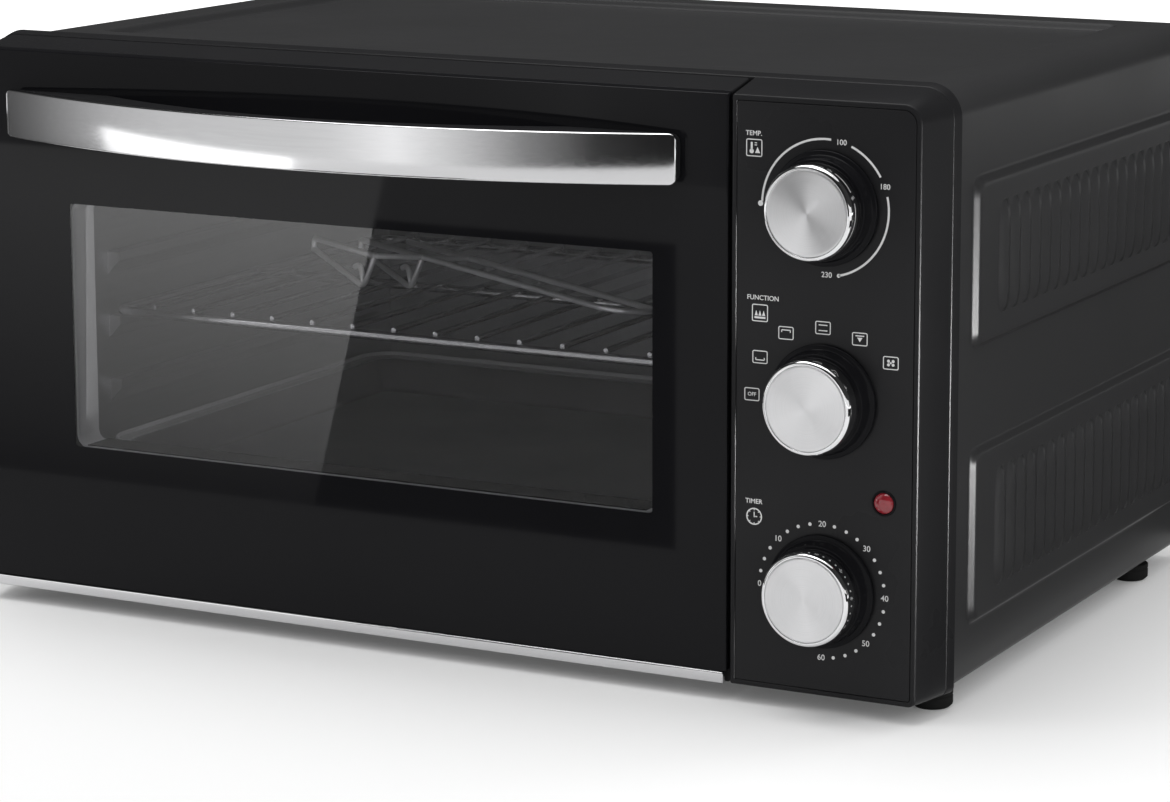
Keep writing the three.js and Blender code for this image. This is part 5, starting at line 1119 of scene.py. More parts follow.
# %% Signal lamp
LENS_LOW, LENS_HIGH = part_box("indicator_lens")
lens_x, lens_z = (LENS_LOW.x + LENS_HIGH.x) / 2, (LENS_LOW.z + LENS_HIGH.z) / 2
LENS_RADIUS = 5.0
LENS_PROUD = 2.4
LENS_DEEP = 6.0
DOME_STEPS = 10
SMALL_TURN_STEPS = 48
LENS_RING = [(5.1, 0.3), (5.1, -0.5), (5.25, -0.7), (5.6, -0.7), (5.9, -0.5), (6.1, -0.05), (6.1, 0.3)]
lens_profile = []
for step in range(1, DOME_STEPS + 1):
    angle = math.pi / 2 * step / DOME_STEPS
    lens_profile.append((LENS_RADIUS * math.sin(angle), -LENS_PROUD * math.cos(angle)))
lens_profile.append((LENS_RADIUS, LENS_DEEP))
lens = skin(turned_rings(lens_x, lens_z, lens_profile, SMALL_TURN_STEPS))
piece("signal_lens", lens, lamp_red, "oven", ["indicator_lens"])
ring = skin(turned_rings(lens_x, lens_z, LENS_RING, SMALL_TURN_STEPS), loop=True)
piece("signal_ring", ring, knob_black, "oven")
print("lens", 2 * LENS_RADIUS, "mm across")

# %% [markdown]
# The dial marks are printed in pale ink. They could be a texture, but small letters on a texture blur up
# close. Here each mark is a very thin solid that lies on the film: words in the built-in font, arcs, dots
# and small signs.

# %% Ink shapes
INK_FRONT = -0.06 * MM
INK_BACK = -0.01 * MM
ARC_STEP = 3
LETTER_WEIGHT = 0.03 * MM
LETTER_CURVE_STEPS = 5


def inked(outline):
    """A filled flat shape from an outline in X and Z."""
    return skin([ring_at(outline, INK_FRONT), ring_at(outline, INK_BACK)])


def inked_band(outer, inner):
    """A flat band between two outlines of equally many points."""
    rings = [ring_at(outer, INK_FRONT), ring_at(outer, INK_BACK)]
    rings += [ring_at(inner, INK_BACK), ring_at(inner, INK_FRONT)]
    return skin(rings, loop=True)


def circle(x, z, radius, steps=32):
    """A round outline."""
    turns = [2 * math.pi * step / steps for step in range(steps)]
    return [(x + radius * math.cos(turn), z + radius * math.sin(turn)) for turn in turns]


def clock_place(centre, radius, degrees):
    """A place on a dial: its angle is counted clockwise from the top."""
    angle = math.radians(degrees)
    return centre[0] + radius * math.sin(angle), centre[1] + radius * math.cos(angle)


def beside(centre, across, up):
    """A place beside another, by millimetres to the right and up."""
    return centre[0] + across * MM, centre[1] + up * MM


def inked_arc(centre, radius, start, end, width):
    """A line of ink along part of a dial."""
    count = max(int(abs(end - start) / ARC_STEP), 2)
    turns = [start + (end - start) * step / count for step in range(count + 1)]
    outer = [clock_place(centre, radius + width / 2, turn) for turn in turns]
    inner = [clock_place(centre, radius - width / 2, turn) for turn in reversed(turns)]
    return inked(outer + inner)


def inked_text(words, x, z, size):
    """Words centred on a place. The size is in millimetres."""
    data = bpy.data.curves.new("words", "FONT")
    data.body = words
    data.size = size * MM
    data.align_x = "CENTER"
    data.align_y = "CENTER"
    data.offset = LETTER_WEIGHT
    data.extrude = (INK_BACK - INK_FRONT) / 2
    data.resolution_u = LETTER_CURVE_STEPS
    writing = bpy.data.objects.new("words", data)
    scene.collection.objects.link(writing)
    bpy.context.view_layer.update()
    graph = bpy.context.evaluated_depsgraph_get()
    mesh = bpy.data.meshes.new_from_object(writing.evaluated_get(graph))
    middle = FRONT_Y + (INK_FRONT + INK_BACK) / 2
    points = [(x + vertex.co.x, middle - vertex.co.z, z + vertex.co.y) for vertex in mesh.vertices]
    faces = [tuple(polygon.vertices) for polygon in mesh.polygons]
    bpy.data.objects.remove(writing)
    bpy.data.meshes.remove(mesh)
    return points, faces


# %% [markdown]
# A small sign is put together from three kinds of ink: a rounded frame, straight lines and filled shapes.
# Lines and shapes are given in millimetres from the sign's middle, so a sign can be moved as one.

# %% Signs
SIGN_HALF = 4.1 * MM
SIGN_LINE = 0.45 * MM
SIGN_CORNER = 0.9 * MM
SIGN_CORNER_STEPS = 4
STROKE = 0.5


def sign_frame(x, z, half_width, half_height):
    """The rounded frame round a small sign."""
    outlines = []
    for inset in (0.0, SIGN_LINE):
        across, up = half_width - inset, half_height - inset
        corners = [SIGN_CORNER - inset] * 4
        outlines.append(rounded(x - across, x + across, z - up, z + up, corners, SIGN_CORNER_STEPS))
    return inked_band(*outlines)


def stroke(x0, z0, x1, z1, width):
    """A straight line of ink."""
    along = Vector((x1 - x0, z1 - z0)).normalized() * width / 2
    side = Vector((-along.y, along.x))
    return inked([
        (x0 + side.x, z0 + side.y), (x0 - side.x, z0 - side.y),
        (x1 - side.x, z1 - side.y), (x1 + side.x, z1 + side.y),
    ])


def drawn(x, z, lines, width=STROKE):
    """Straight lines of ink. Their ends are in millimetres from a sign's middle, as is their width."""
    parts = []
    for x0, z0, x1, z1 in lines:
        parts.append(stroke(x + x0 * MM, z + z0 * MM, x + x1 * MM, z + z1 * MM, width * MM))
    return gathered(*parts)


def filled(x, z, corners):
    """A filled shape of ink. Its corners are in millimetres from a sign's middle."""
    return inked([(x + across * MM, z + up * MM) for across, up in corners])


print("sign frame", round(2 * SIGN_HALF / MM, 1), "mm")

# %% [markdown]
# Each dial's marks are joined into one piece, because one print run lays them all down. Their places are
# counted from the knob's axis: an angle and a radius for what stands round the knob, millimetres to the
# right and up for the heading and its sign.

# %% Temperature dial
LINE = 1.0 * MM
NUMBER_SIZE = 3.6
WORD_SIZE = 3.2
TEMP_RADIUS = 31.8 * MM
TEMP_ARCS = ((-88, 5), (24, 60), (77, 167))
TEMP_NUMBERS = (("100", 31.6, 14.5), ("180", 31.9, 68.7), ("230", 31.1, 178))
TEMP_FIRST_DOT = (32.6 * MM, -90, 1.3 * MM)
TEMP_LAST_DOT = (TEMP_RADIUS, 167, 0.9 * MM)
TEMP_WORD = (-36.2, 32.3)
TEMP_SIGN = (-36.0, 25.6)
BULB_PLACE = (-1.3, -1.6)
BULB_RADIUS = 1.1 * MM
BULB_STEPS = 20
STEM = (-1.3, -1.0, -1.3, 2.6)
STEM_WIDTH = 1.0
RISING_HEAT = ((0.4, -2.4), (3.0, -2.4), (1.7, 0.4))
TICKS = ((0.2, 1.3, 1.4, 1.3), (0.2, 2.3, 1.4, 2.3))
TICK_WIDTH = 0.4
temp = knob_places["temp"]


def dial_dot(centre, radius, degrees, size):
    """A round dot on a dial."""
    return inked(circle(*clock_place(centre, radius, degrees), size))


def temperature_sign(x, z):
    """A thermometer beside a small rise of heat."""
    bulb = inked(circle(*beside((x, z), *BULB_PLACE), BULB_RADIUS, BULB_STEPS))
    stem = drawn(x, z, [STEM], STEM_WIDTH)
    rise = filled(x, z, RISING_HEAT)
    ticks = drawn(x, z, TICKS, TICK_WIDTH)
    return gathered(sign_frame(x, z, SIGN_HALF, SIGN_HALF), bulb, stem, rise, ticks)


temp_marks = [dial_dot(temp, *TEMP_FIRST_DOT)]
temp_marks += [inked_arc(temp, TEMP_RADIUS, start, end, LINE) for start, end in TEMP_ARCS]
temp_marks.append(dial_dot(temp, *TEMP_LAST_DOT))
for number, radius, degrees in TEMP_NUMBERS:
    temp_marks.append(inked_text(number, *clock_place(temp, radius * MM, degrees), NUMBER_SIZE))
temp_marks.append(inked_text("TEMP.", *beside(temp, *TEMP_WORD), WORD_SIZE))
temp_marks.append(temperature_sign(*beside(temp, *TEMP_SIGN)))
piece("temp_marks", gathered(*temp_marks), print_ink, "oven")
print("marks on the temperature dial", len(temp_marks))

# %% [markdown]
# The function dial has six small framed signs: off, heat from below, heat from above, both, the grill and
# the fan. All of them are generic signs, drawn from strokes, triangles and short words. The sign for heat
# from above is the one for heat from below, turned over.

# %% Function dial
HALF_WIDE = 3.9 * MM
HALF_TALL = 3.1 * MM
FUNCTION_PLACES = (
    ("off", -90, 36.5), ("below", -61, 37.1), ("above", -32.3, 36.0),
    ("both", -0.8, 34.4), ("grill", 30.5, 35.6), ("fan", 58.2, 39.6),
)
FUNCTION_WORD = (-31.1, 45.9)
FUNCTION_SIGN = (-32.6, 38.8)
LOWER_HEAT = ((-2.2, -1.4, 2.2, -1.4), (-2.2, -1.4, -2.2, -0.3), (2.2, -1.4, 2.2, -0.3))
UPPER_HEAT = [(x0, -z0, x1, -z1) for x0, z0, x1, z1 in LOWER_HEAT]
BOTH_HEATS = ((-2.2, 1.3, 2.2, 1.3), (-2.2, -1.3, 2.2, -1.3))
HEAT_LINES = {"below": LOWER_HEAT, "above": UPPER_HEAT, "both": BOTH_HEATS}
GRILL_BAR = (-2.2, 1.5, 2.2, 1.5)
GRILL_ARROW = ((-1.3, 0.7), (0.0, -1.4), (1.3, 0.7))
FAN_HUB = 0.5 * MM
FAN_BLADE = 0.72 * MM
FAN_STEPS = 14
OFF_SIZE = 2.5
PLATE_LINE = (-2.8, -2.2, 2.8, -2.2)
PLATE_WIDTH = 0.9
FLAME = ((-0.8, -1.3), (0.8, -1.3), (0.0, 1.2))
FLAME_SHIFTS = (-1.9, 0.0, 1.9)
function = knob_places["function"]


def fan_sign(x, z):
    """The fan's sign: four blades round a hub."""
    parts = [inked(circle(x, z, FAN_HUB, FAN_STEPS))]
    for across in (-1.15, 1.15):
        for up in (-0.85, 0.85):
            parts.append(inked(circle(*beside((x, z), across, up), FAN_BLADE, FAN_STEPS)))
    return gathered(*parts)


def function_sign(kind, x, z):
    """One of the six signs."""
    if kind == "off":
        return inked_text("OFF", x, z, OFF_SIZE)
    if kind == "grill":
        return gathered(drawn(x, z, [GRILL_BAR]), filled(x, z, GRILL_ARROW))
    if kind == "fan":
        return fan_sign(x, z)
    return drawn(x, z, HEAT_LINES[kind])


function_marks = [inked_text("FUNCTION", *beside(function, *FUNCTION_WORD), WORD_SIZE)]
for kind, degrees, radius in FUNCTION_PLACES:
    x, z = clock_place(function, radius * MM, degrees)
    function_marks += [sign_frame(x, z, HALF_WIDE, HALF_TALL), function_sign(kind, x, z)]
x, z = beside(function, *FUNCTION_SIGN)
function_marks += [sign_frame(x, z, SIGN_HALF, SIGN_HALF), drawn(x, z, [PLATE_LINE], PLATE_WIDTH)]
for shift in FLAME_SHIFTS:
    function_marks.append(filled(x + shift * MM, z, FLAME))
piece("function_marks", gathered(*function_marks), print_ink, "oven")
print("signs on the function dial", len(FUNCTION_PLACES))

# %% [markdown]
# The timer's dial counts minutes: a number every eighth of a turn, and three dots between two numbers. A
# small clock stands beside its word.

# %% Timer dial
TIMER_RADIUS = 32.0 * MM
TIMER_START = -90
TIMER_STEP = 45
MINUTES = (0, 10, 20, 30, 40, 50, 60)
MINUTE_SIZE = 3.9
MINUTE_DOT = 0.85 * MM
MINUTE_DOT_STEPS = 16
TIMER_WORD = (-35.2, 39.2)
TIMER_SIGN = (-35.0, 32.0)
CLOCK_OUTER = 4.1 * MM
CLOCK_INNER = 3.5 * MM
CLOCK_HANDS = ((0.0, -0.4, 0.0, 2.2), (-0.3, 0.0, 1.6, 0.0))
HOUR_TICK = (2.9 * MM, 3.6 * MM)
timer = knob_places["timer"]
timer_marks = []
for index, minutes in enumerate(MINUTES):
    start = TIMER_START + index * TIMER_STEP
    timer_marks.append(inked_text(str(minutes), *clock_place(timer, TIMER_RADIUS, start), MINUTE_SIZE))
    if minutes < MINUTES[-1]:
        for dot in (1, 2, 3):
            place = clock_place(timer, TIMER_RADIUS, start + dot * TIMER_STEP / 4)
            timer_marks.append(inked(circle(*place, MINUTE_DOT, MINUTE_DOT_STEPS)))
timer_marks.append(inked_text("TIMER", *beside(timer, *TIMER_WORD), WORD_SIZE))
clock = beside(timer, *TIMER_SIGN)
timer_marks.append(inked_band(circle(*clock, CLOCK_OUTER), circle(*clock, CLOCK_INNER)))
timer_marks.append(drawn(*clock, CLOCK_HANDS))
for turn in range(0, 360, 45):
    inner, outer = [clock_place(clock, radius, turn) for radius in HOUR_TICK]
    timer_marks.append(stroke(*inner, *outer, TICK_WIDTH * MM))
piece("timer_marks", gathered(*timer_marks), print_ink, "oven")
print("marks on the timer's dial", len(timer_marks))

# %% [markdown]
# The rack, the lifting fork and the heaters are all bent round bar. A circle carried along a path gives
# each one: straight runs, with a short curve at every bend, and slightly domed ends.

# %% Bent wire
CAP_SHARES = (0.35, 0.7, 0.93)
CAP_DEPTH = 0.3


def bent(points, bend, steps=8):
    """A path of straight runs with a curve at each inner point."""
    points = [Vector(point) for point in points]
    path = [points[0]]
    for before, corner, after in zip(points, points[1:], points[2:]):
        start = corner + (before - corner).normalized() * bend
        end = corner + (after - corner).normalized() * bend
        for step in range(steps + 1):
            share = step / steps
            path.append(start * (1 - share) ** 2 + corner * 2 * share * (1 - share) + end * share ** 2)
    return path + [points[-1]]


def wire(path, radius, sides=14, closed=False):
    """A round bar along a path."""
    path = [Vector(point) for point in path]
    count = len(path)
    rings, across = [], None
    for index, place in enumerate(path):
        if closed:
            run = (path[(index + 1) % count] - path[index - 1]).normalized()
        else:
            run = (path[min(index + 1, count - 1)] - path[max(index - 1, 0)]).normalized()
        if across is None:
            across = run.orthogonal().normalized()
        across = (across - run * across.dot(run)).normalized()
        up = run.cross(across)
        rings.append((place, run, across, up, radius))
    if not closed:
        rings = domed(rings, radius)
    circles = []
    for place, _, across, up, size in rings:
        turns = [2 * math.pi * side / sides for side in range(sides)]
        circles.append([place + (across * math.cos(turn) + up * math.sin(turn)) * size for turn in turns])
    return skin(circles, loop=closed)


def domed(rings, radius):
    """Rounds both ends of a bar with three smaller circles."""
    def cap(ring, inward):
        place, run, across, up, _ = ring
        smaller = []
        for share in CAP_SHARES:
            sunk = place + run * inward * radius * CAP_DEPTH * (1 - math.sqrt(1 - share ** 2))
            smaller.append((sunk, run, across, up, radius * share))
        return smaller

    def drawn_in(ring, inward):
        place, run, across, up, size = ring
        return (place + run * inward * radius * CAP_DEPTH, run, across, up, size)

    head = [*cap(rings[0], 1), drawn_in(rings[0], 1)]
    tail = [drawn_in(rings[-1], -1), *reversed(cap(rings[-1], -1))]
    return head + rings[1:-1] + tail


# %% [markdown]
# Each heater is one sheathed bar, bent into a wide U. Both of its ends point to the oven's right, where a
# flange holds them.

# %% Heaters
HEATER_RADIUS = 3.5 * MM
HEATER_BEND = 24 * MM
HEATER_BEND_STEPS = 14
HEATER_SIDES = 18
for name in ("upper_heater", "lower_heater"):
    low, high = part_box(name)
    z = (low.z + high.z) / 2
    left = low.x + HEATER_RADIUS
    near, far = low.y + HEATER_RADIUS, high.y - HEATER_RADIUS
    corners = [(high.x, near, z), (left, near, z), (left, far, z), (high.x, far, z)]
    tube = wire(bent(corners, HEATER_BEND, HEATER_BEND_STEPS), HEATER_RADIUS, HEATER_SIDES)
    piece(name + "_tube", tube, heater_sheath, "oven", [name])
print("heaters reach", round((far - near) / MM, 1), "mm deep")

# %% [markdown]
# The rack is a closed frame of thick wire with one bar across its middle. Fourteen thin wires are welded
# onto it from front to back, and they lie a little higher than the frame.

# %% Wire rack
RACK_LOW, RACK_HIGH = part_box("wire_rack")
THICK = 2.5 * MM
THIN = 1.5 * MM
THICK_SIDES = 16
THIN_SIDES = 12
THIN_COUNT = 14
RACK_CORNER = 10 * MM
RACK_CORNER_STEPS = 8
rack_z = RACK_LOW.z + THICK
thin_z = RACK_HIGH.z - THIN
rack_left, rack_right = RACK_LOW.x + THICK, RACK_HIGH.x - THICK
rack_near, rack_far = RACK_LOW.y + THICK, RACK_HIGH.y - THICK
rack_middle = (RACK_LOW.y + RACK_HIGH.y) / 2
rack_outline = rounded(rack_left, rack_right, rack_near, rack_far, [RACK_CORNER] * 4, RACK_CORNER_STEPS)
rack_parts = [wire([(x, y, rack_z) for x, y in rack_outline], THICK, THICK_SIDES, closed=True)]
crossbar = [(rack_left, rack_middle, rack_z), (rack_right, rack_middle, rack_z)]
rack_parts.append(wire(crossbar, THICK, THICK_SIDES))
for index in range(1, THIN_COUNT + 1):
    x = rack_left + (rack_right - rack_left) * index / (THIN_COUNT + 1)
    path = [(x, rack_near, thin_z), (x, rack_middle, thin_z), (x, rack_far, thin_z)]
    rack_parts.append(wire(path, THIN, THIN_SIDES))
piece("rack_wires", gathered(*rack_parts), wire_chrome, "rack", ["wire_rack"])
print("rack wires", THIN_COUNT)

# %% [markdown]
# The lifting fork for hot trays lies on the rack. It is drawn flat, as it would be bent on a bench: two
# tines with hooks, a crossbar and one long grip. Then it is tilted, turned and laid where the model has it.

# %% Lifting fork
FORK_WIRE = 1.5 * MM
FORK_GRIP = 262 * MM
FORK_SPACING = 29 * MM
TINE = 60 * MM
TINE_DROP = 12.5 * MM
FORK_RISE = 18 * MM
RISER_RUN = 10 * MM
HOOK_REACH = 12 * MM
HOOK_RISE = 9 * MM
FORK_TILT = math.radians(-6.5)
FORK_TURN = math.radians(-30.6)
FORK_BEND = 5 * MM
GRIP_BEND_STEPS = 12
grip_z = -TINE_DROP + FORK_RISE
fork_parts = []
for across in (-FORK_SPACING, 0.0):
    tip, low = Vector((0, across, 0)), Vector((TINE, across, -TINE_DROP))
    top = Vector((TINE + RISER_RUN, across, grip_z + FORK_WIRE))
    lift = Vector((0, 0, FORK_WIRE))
    fork_parts.append(wire(bent([tip, low, top], FORK_BEND), FORK_WIRE))
    crest = low + Vector((-HOOK_REACH / 2, 0, HOOK_RISE + 2 * FORK_WIRE))
    hook_end = low + Vector((-HOOK_REACH, 0, HOOK_RISE))
    fork_parts.append(wire(bent([low + lift, crest, hook_end], FORK_BEND), FORK_WIRE))
    fork_parts.append(wire([tip - lift, Vector((0, across, grip_z))], FORK_WIRE))
grip = [(0, 0, grip_z), (FORK_GRIP, 0, grip_z), (FORK_GRIP, FORK_SPACING, grip_z), (0, FORK_SPACING, grip_z)]
fork_parts.append(wire(bent(grip, FORK_SPACING / 2, GRIP_BEND_STEPS), FORK_WIRE))
bar_x = TINE + RISER_RUN
bar_reach = FORK_SPACING + FORK_WIRE
fork_parts.append(wire([(bar_x, -bar_reach, grip_z), (bar_x, bar_reach, grip_z)], FORK_WIRE))
fork_parts.append(wire([(0, -FORK_SPACING, grip_z), (bar_x, -FORK_SPACING, grip_z)], FORK_WIRE))
fork_points, fork_faces = gathered(*fork_parts)
laying = Matrix.Rotation(FORK_TURN, 4, "Z") @ Matrix.Rotation(FORK_TILT, 4, "X")
laid = np.array([laying @ Vector(point) for point in fork_points])
fork_low, fork_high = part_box("tray_handle")
drawn_low, drawn_high = laid.min(axis=0), laid.max(axis=0)
laid += (np.array(fork_low + fork_high) - drawn_low - drawn_high) / 2
piece("lifting_fork", (laid.tolist(), fork_faces), fork_chrome, "rack", ["tray_handle"])
print("fork size", [round(float(size) / MM, 1) for size in drawn_high - drawn_low])

# %% [markdown]
# Along the top of the tray's rim the colour is mixed to a light steel tone. This is a painted highlight:
# the light line that the rim shows behind the window. It follows the height over the piece's own size, so
# it stays on the rim wherever the tray slides.

# %% Painted highlight on the tray's rim
RIM_HIGHLIGHT_FROM = 0.86
RIM_HIGHLIGHT_FULL = 0.92
PLAIN_ENAMEL = (0.018, 0.018, 0.020)
RIM_HIGHLIGHT_TONE = (0.55, 0.55, 0.56)


def wear_rim(material):
    """A painted highlight: a light steel tone along the top of a rim, by the height over the piece's own
    size.
    """
    tree = material.node_tree
    shader = tree.nodes["Principled BSDF"]
    own_place = tree.nodes.new("ShaderNodeSeparateXYZ")
    tree.links.new(tree.nodes.new("ShaderNodeTexCoord").outputs["Generated"], own_place.inputs["Vector"])
    highlit = tree.nodes.new("ShaderNodeMapRange")
    highlit.inputs["From Min"].default_value = RIM_HIGHLIGHT_FROM
    highlit.inputs["From Max"].default_value = RIM_HIGHLIGHT_FULL
    tree.links.new(own_place.outputs["Z"], highlit.inputs["Value"])
    colour = tinted(tree, highlit.outputs["Result"], PLAIN_ENAMEL, RIM_HIGHLIGHT_TONE)
    tree.links.new(colour, shader.inputs["Base Color"])


# Painted highlight: the rim's top is coloured light in place of the light that it would catch.
wear_rim(tray_enamel)
print("tray rim worn from", RIM_HIGHLIGHT_FROM, "of its height")

# %% [markdown]
# The baking tray is pressed from one sheet: a floor with a rounded foot, slightly leaning walls, a flat
# rim that rides on the guides, and a bead that stiffens the rim. The skin runs from the middle of its
# underside out over the bead and back to the middle of its floor.

# %% Baking tray
TRAY_LOW, TRAY_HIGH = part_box("baking_tray")
TRAY_SHEET = 1.2 * MM
TRAY_RIM_WIDTH = 7.5 * MM
TRAY_TAPER = 4 * MM
TRAY_CORNER = 12 * MM
TRAY_LEAST_CORNER = 2 * MM
TRAY_BEAD = 2.4 * MM
TRAY_FOOT = 4 * MM
TRAY_FOOT_STEPS = 5
RIM_EDGE = 0.3 * MM
WALL_EDGE = 0.8 * MM
BEAD = ((0.0, -0.4), (0.4, 0.0), (0.9, -0.1), (1.2, -0.5))
rim_high = TRAY_HIGH.z - TRAY_BEAD
rim_low = rim_high - TRAY_SHEET


def tray_ring(inset, z):
    """The tray's outline at a height, drawn in from its rim."""
    corner = max(TRAY_CORNER + TRAY_RIM_WIDTH - inset, TRAY_LEAST_CORNER)
    outline = rounded(TRAY_LOW.x + inset, TRAY_HIGH.x - inset, TRAY_LOW.y + inset, TRAY_HIGH.y - inset,
                      [corner] * 4)
    return [(x, y, z) for x, y in outline]


def foot_rings(inset, floor, radius):
    """The rounded foot between a floor and a wall."""
    rings = []
    for step in range(TRAY_FOOT_STEPS + 1):
        angle = math.pi / 2 * step / TRAY_FOOT_STEPS
        inward, up = radius * (1 - math.sin(angle)), radius * (1 - math.cos(angle))
        rings.append(tray_ring(inset + inward, floor + up))
    return rings


wall_inset = TRAY_RIM_WIDTH + TRAY_TAPER
inner_inset = TRAY_RIM_WIDTH + TRAY_SHEET
floor_inset = wall_inset + TRAY_FOOT + MM
under_rim = [(TRAY_RIM_WIDTH, rim_low), (RIM_EDGE, rim_low), (0.0, rim_low + RIM_EDGE)]
bead = [(inset * MM, TRAY_HIGH.z + up * MM) for inset, up in BEAD]
over_rim = [
    (TRAY_SHEET, rim_high + RIM_EDGE), (TRAY_SHEET + RIM_EDGE, rim_high),
    (inner_inset - WALL_EDGE, rim_high), (inner_inset, rim_high - WALL_EDGE),
]
inner_foot = foot_rings(wall_inset + TRAY_SHEET, TRAY_LOW.z + TRAY_SHEET, TRAY_FOOT - TRAY_SHEET)
tray_rings = [tray_ring(floor_inset, TRAY_LOW.z), *foot_rings(wall_inset, TRAY_LOW.z, TRAY_FOOT)]
tray_rings += [tray_ring(inset, z) for inset, z in under_rim + bead + over_rim]
tray_rings += [*inner_foot[::-1], tray_ring(floor_inset, TRAY_LOW.z + TRAY_SHEET)]
piece("tray_pressing", skin(tray_rings), tray_enamel, "tray", ["baking_tray"])
print("tray", round((TRAY_HIGH.z - TRAY_LOW.z) / MM, 1), "mm deep")

# %% [markdown]
# The feet are turned rubber with a chamfered toe and a narrow groove. Behind, a rubber bush lines the round
# hole in the rear panel.

# %% Feet and rear bush
FOOT_STEPS = 48
FOOT_PLAY = 0.3 * MM
FOOT_PROFILE = (
    (7.0, 0.0), (7.9, 0.0), (8.3, 0.15), (9.8, 1.5), (10.0, 2.0), (10.0, 5.4), (9.7, 5.8), (9.7, 6.2),
    (10.0, 6.6),
)
FEET = ("foot_front_left", "foot_front_right", "foot_back_left", "foot_back_right")


def upright_ring(x, y, radius, z):
    """A ring about an upright axis."""
    turns = [2 * math.pi * step / FOOT_STEPS for step in range(FOOT_STEPS)]
    return [(x + radius * math.cos(turn), y + radius * math.sin(turn), z) for turn in turns]


def foot(name):
    """One foot, turned about an upright axis. Its neck reaches up into the base."""
    low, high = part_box(name)
    x, y = (low.x + high.x) / 2, (low.y + high.y) / 2
    top = PANEL_LOW.z - FOOT_PLAY
    neck = ((10.0, top - FOOT_PLAY), (9.7, top), (4.5, top), (3.0, top), (3.0, high.z))
    rings = [upright_ring(x, y, radius * MM, up * MM) for radius, up in FOOT_PROFILE]
    rings += [upright_ring(x, y, radius * MM, z) for radius, z in neck]
    piece(name + "_rubber", skin(rings), foot_rubber, "oven", [name])


for name in FEET:
    foot(name)

bush_low, bush_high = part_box("cord_inlet")
bush_x, bush_z = (bush_low.x + bush_high.x) / 2, (bush_low.z + bush_high.z) / 2
bush_end = (bush_high.y - FRONT_Y) / MM
bush_start = (bush_low.y - FRONT_Y) / MM
plate_face = (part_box("rear_panel")[1].y - FRONT_Y) / MM
BUSH = [
    (3.6, bush_end - 0.3), (3.9, bush_end), (6.7, bush_end), (7.0, bush_end - 0.4),
    (9.3, plate_face + 3.6), (9.5, plate_face + 3.0), (9.5, plate_face + 0.3), (6.0, plate_face + 0.3),
    (6.0, bush_start), (3.6, bush_start),
]
bush = skin(turned_rings(bush_x, bush_z, BUSH, SMALL_TURN_STEPS), loop=True)
piece("rear_bush", bush, foot_rubber, "oven", ["cord_inlet"])
print("feet", len(FEET), "bush", round(bush_end - bush_start, 1), "mm long")

# %% [markdown]
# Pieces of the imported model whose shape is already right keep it. They get a finish, smooth shading and
# narrow bevels, because a real edge always catches a thin line of light. Both come from modifiers, so the
# model's own mesh stays as it is.

# %% Dress the carried pieces
SAME_PLACE = 1e-6
SHARP_ANGLE = math.radians(38)
SOFT_EDGE = 0.4 * MM
FINE_EDGE = 0.2 * MM
FRAME_EDGE = 0.5 * MM
HANDLE_EDGE = 1 * MM


def dress(name, material, bevel):
    """Gives a carried piece a finish and softened edges."""
    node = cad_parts[name]
    node.data.materials.clear()
    node.data.materials.append(material)
    weld = node.modifiers.new("weld", "WELD")
    weld.merge_threshold = SAME_PLACE
    soft = node.modifiers.new("soft_edges", "BEVEL")
    soft.width = bevel
    soft.segments = 2
    soft.limit_method = "ANGLE"
    soft.angle_limit = SHARP_ANGLE
    node.data.shade_smooth()
    node.data.set_sharp_from_angle(angle=SHARP_ANGLE)
    even = node.modifiers.new("even_shading", "WEIGHTED_NORMAL")
    even.keep_sharp = True


CARRIED = (
    (case_paint, SOFT_EDGE, ["rear_panel"]),
    (base_sheet, SOFT_EDGE, ["base_plate", "fan_housing", "fan_wheel"]),
    (bright_sheet, SOFT_EDGE, [
        "cavity_left_wall", "cavity_right_wall", "cavity_floor", "cavity_roof", "cavity_back",
        "upper_heater_flange", "lower_heater_flange",
    ]),
    (inner_sheet, SOFT_EDGE, ["door_inner_panel"]),
    (hinge_steel, FINE_EDGE, [
        "fan_shaft", "temp_shaft", "function_shaft", "timer_shaft",
        "left_hinge_bracket", "right_hinge_bracket", "left_hinge_pin", "right_hinge_pin",
    ]),
    (control_plastic, SOFT_EDGE, [
        "fan_motor", "thermostat_body", "function_switch_body", "timer_body", "lamp_holder",
    ]),
    (front_paint, HANDLE_EDGE, ["handle_body"]),
    (front_paint, FRAME_EDGE, ["door_frame"]),
)
for material, bevel, names in CARRIED:
    for name in names:
        dress(name, material, bevel)
print("dressed pieces", sum(len(names) for material, bevel, names in CARRIED))

# %% [markdown]
# Small cross-headed screws hold the rear panel to the case and the base plate to its flanges. A screw's
# head is a low dome with a cross sunk into it. One ring of points takes the cross's outline.

# %% Screws
SCREW_RADIUS = 2.9
SCREW_HEIGHT = 1.5
SCREW_STEPS = 48
SCREW_DOME = (0.25, 0.5, 0.75, 0.92)
SCREW_DOME_ROUND = 0.55
CROSS_REACH = 1.7
CROSS_HALF = 0.42
CROSS_DEPTH = 0.9
CROSS_FOOT = 0.8
LEAST_SHARE = 1e-6
REAR_INSET = 4.2 * MM
REAR_HEIGHTS = (0.035, 0.152, 0.262)
REAR_PLACES = (-0.16, 0.0, 0.16)
UNDER_INSET = 7 * MM
UNDER_PLACES = (-0.06, 0.06, 0.17)


def cross_radius(angle):
    """How far a cross reaches in one direction."""
    across = max(abs(math.cos(angle)), LEAST_SHARE)
    up = max(abs(math.sin(angle)), LEAST_SHARE)
    return max(min(CROSS_REACH / across, CROSS_HALF / up), min(CROSS_REACH / up, CROSS_HALF / across))


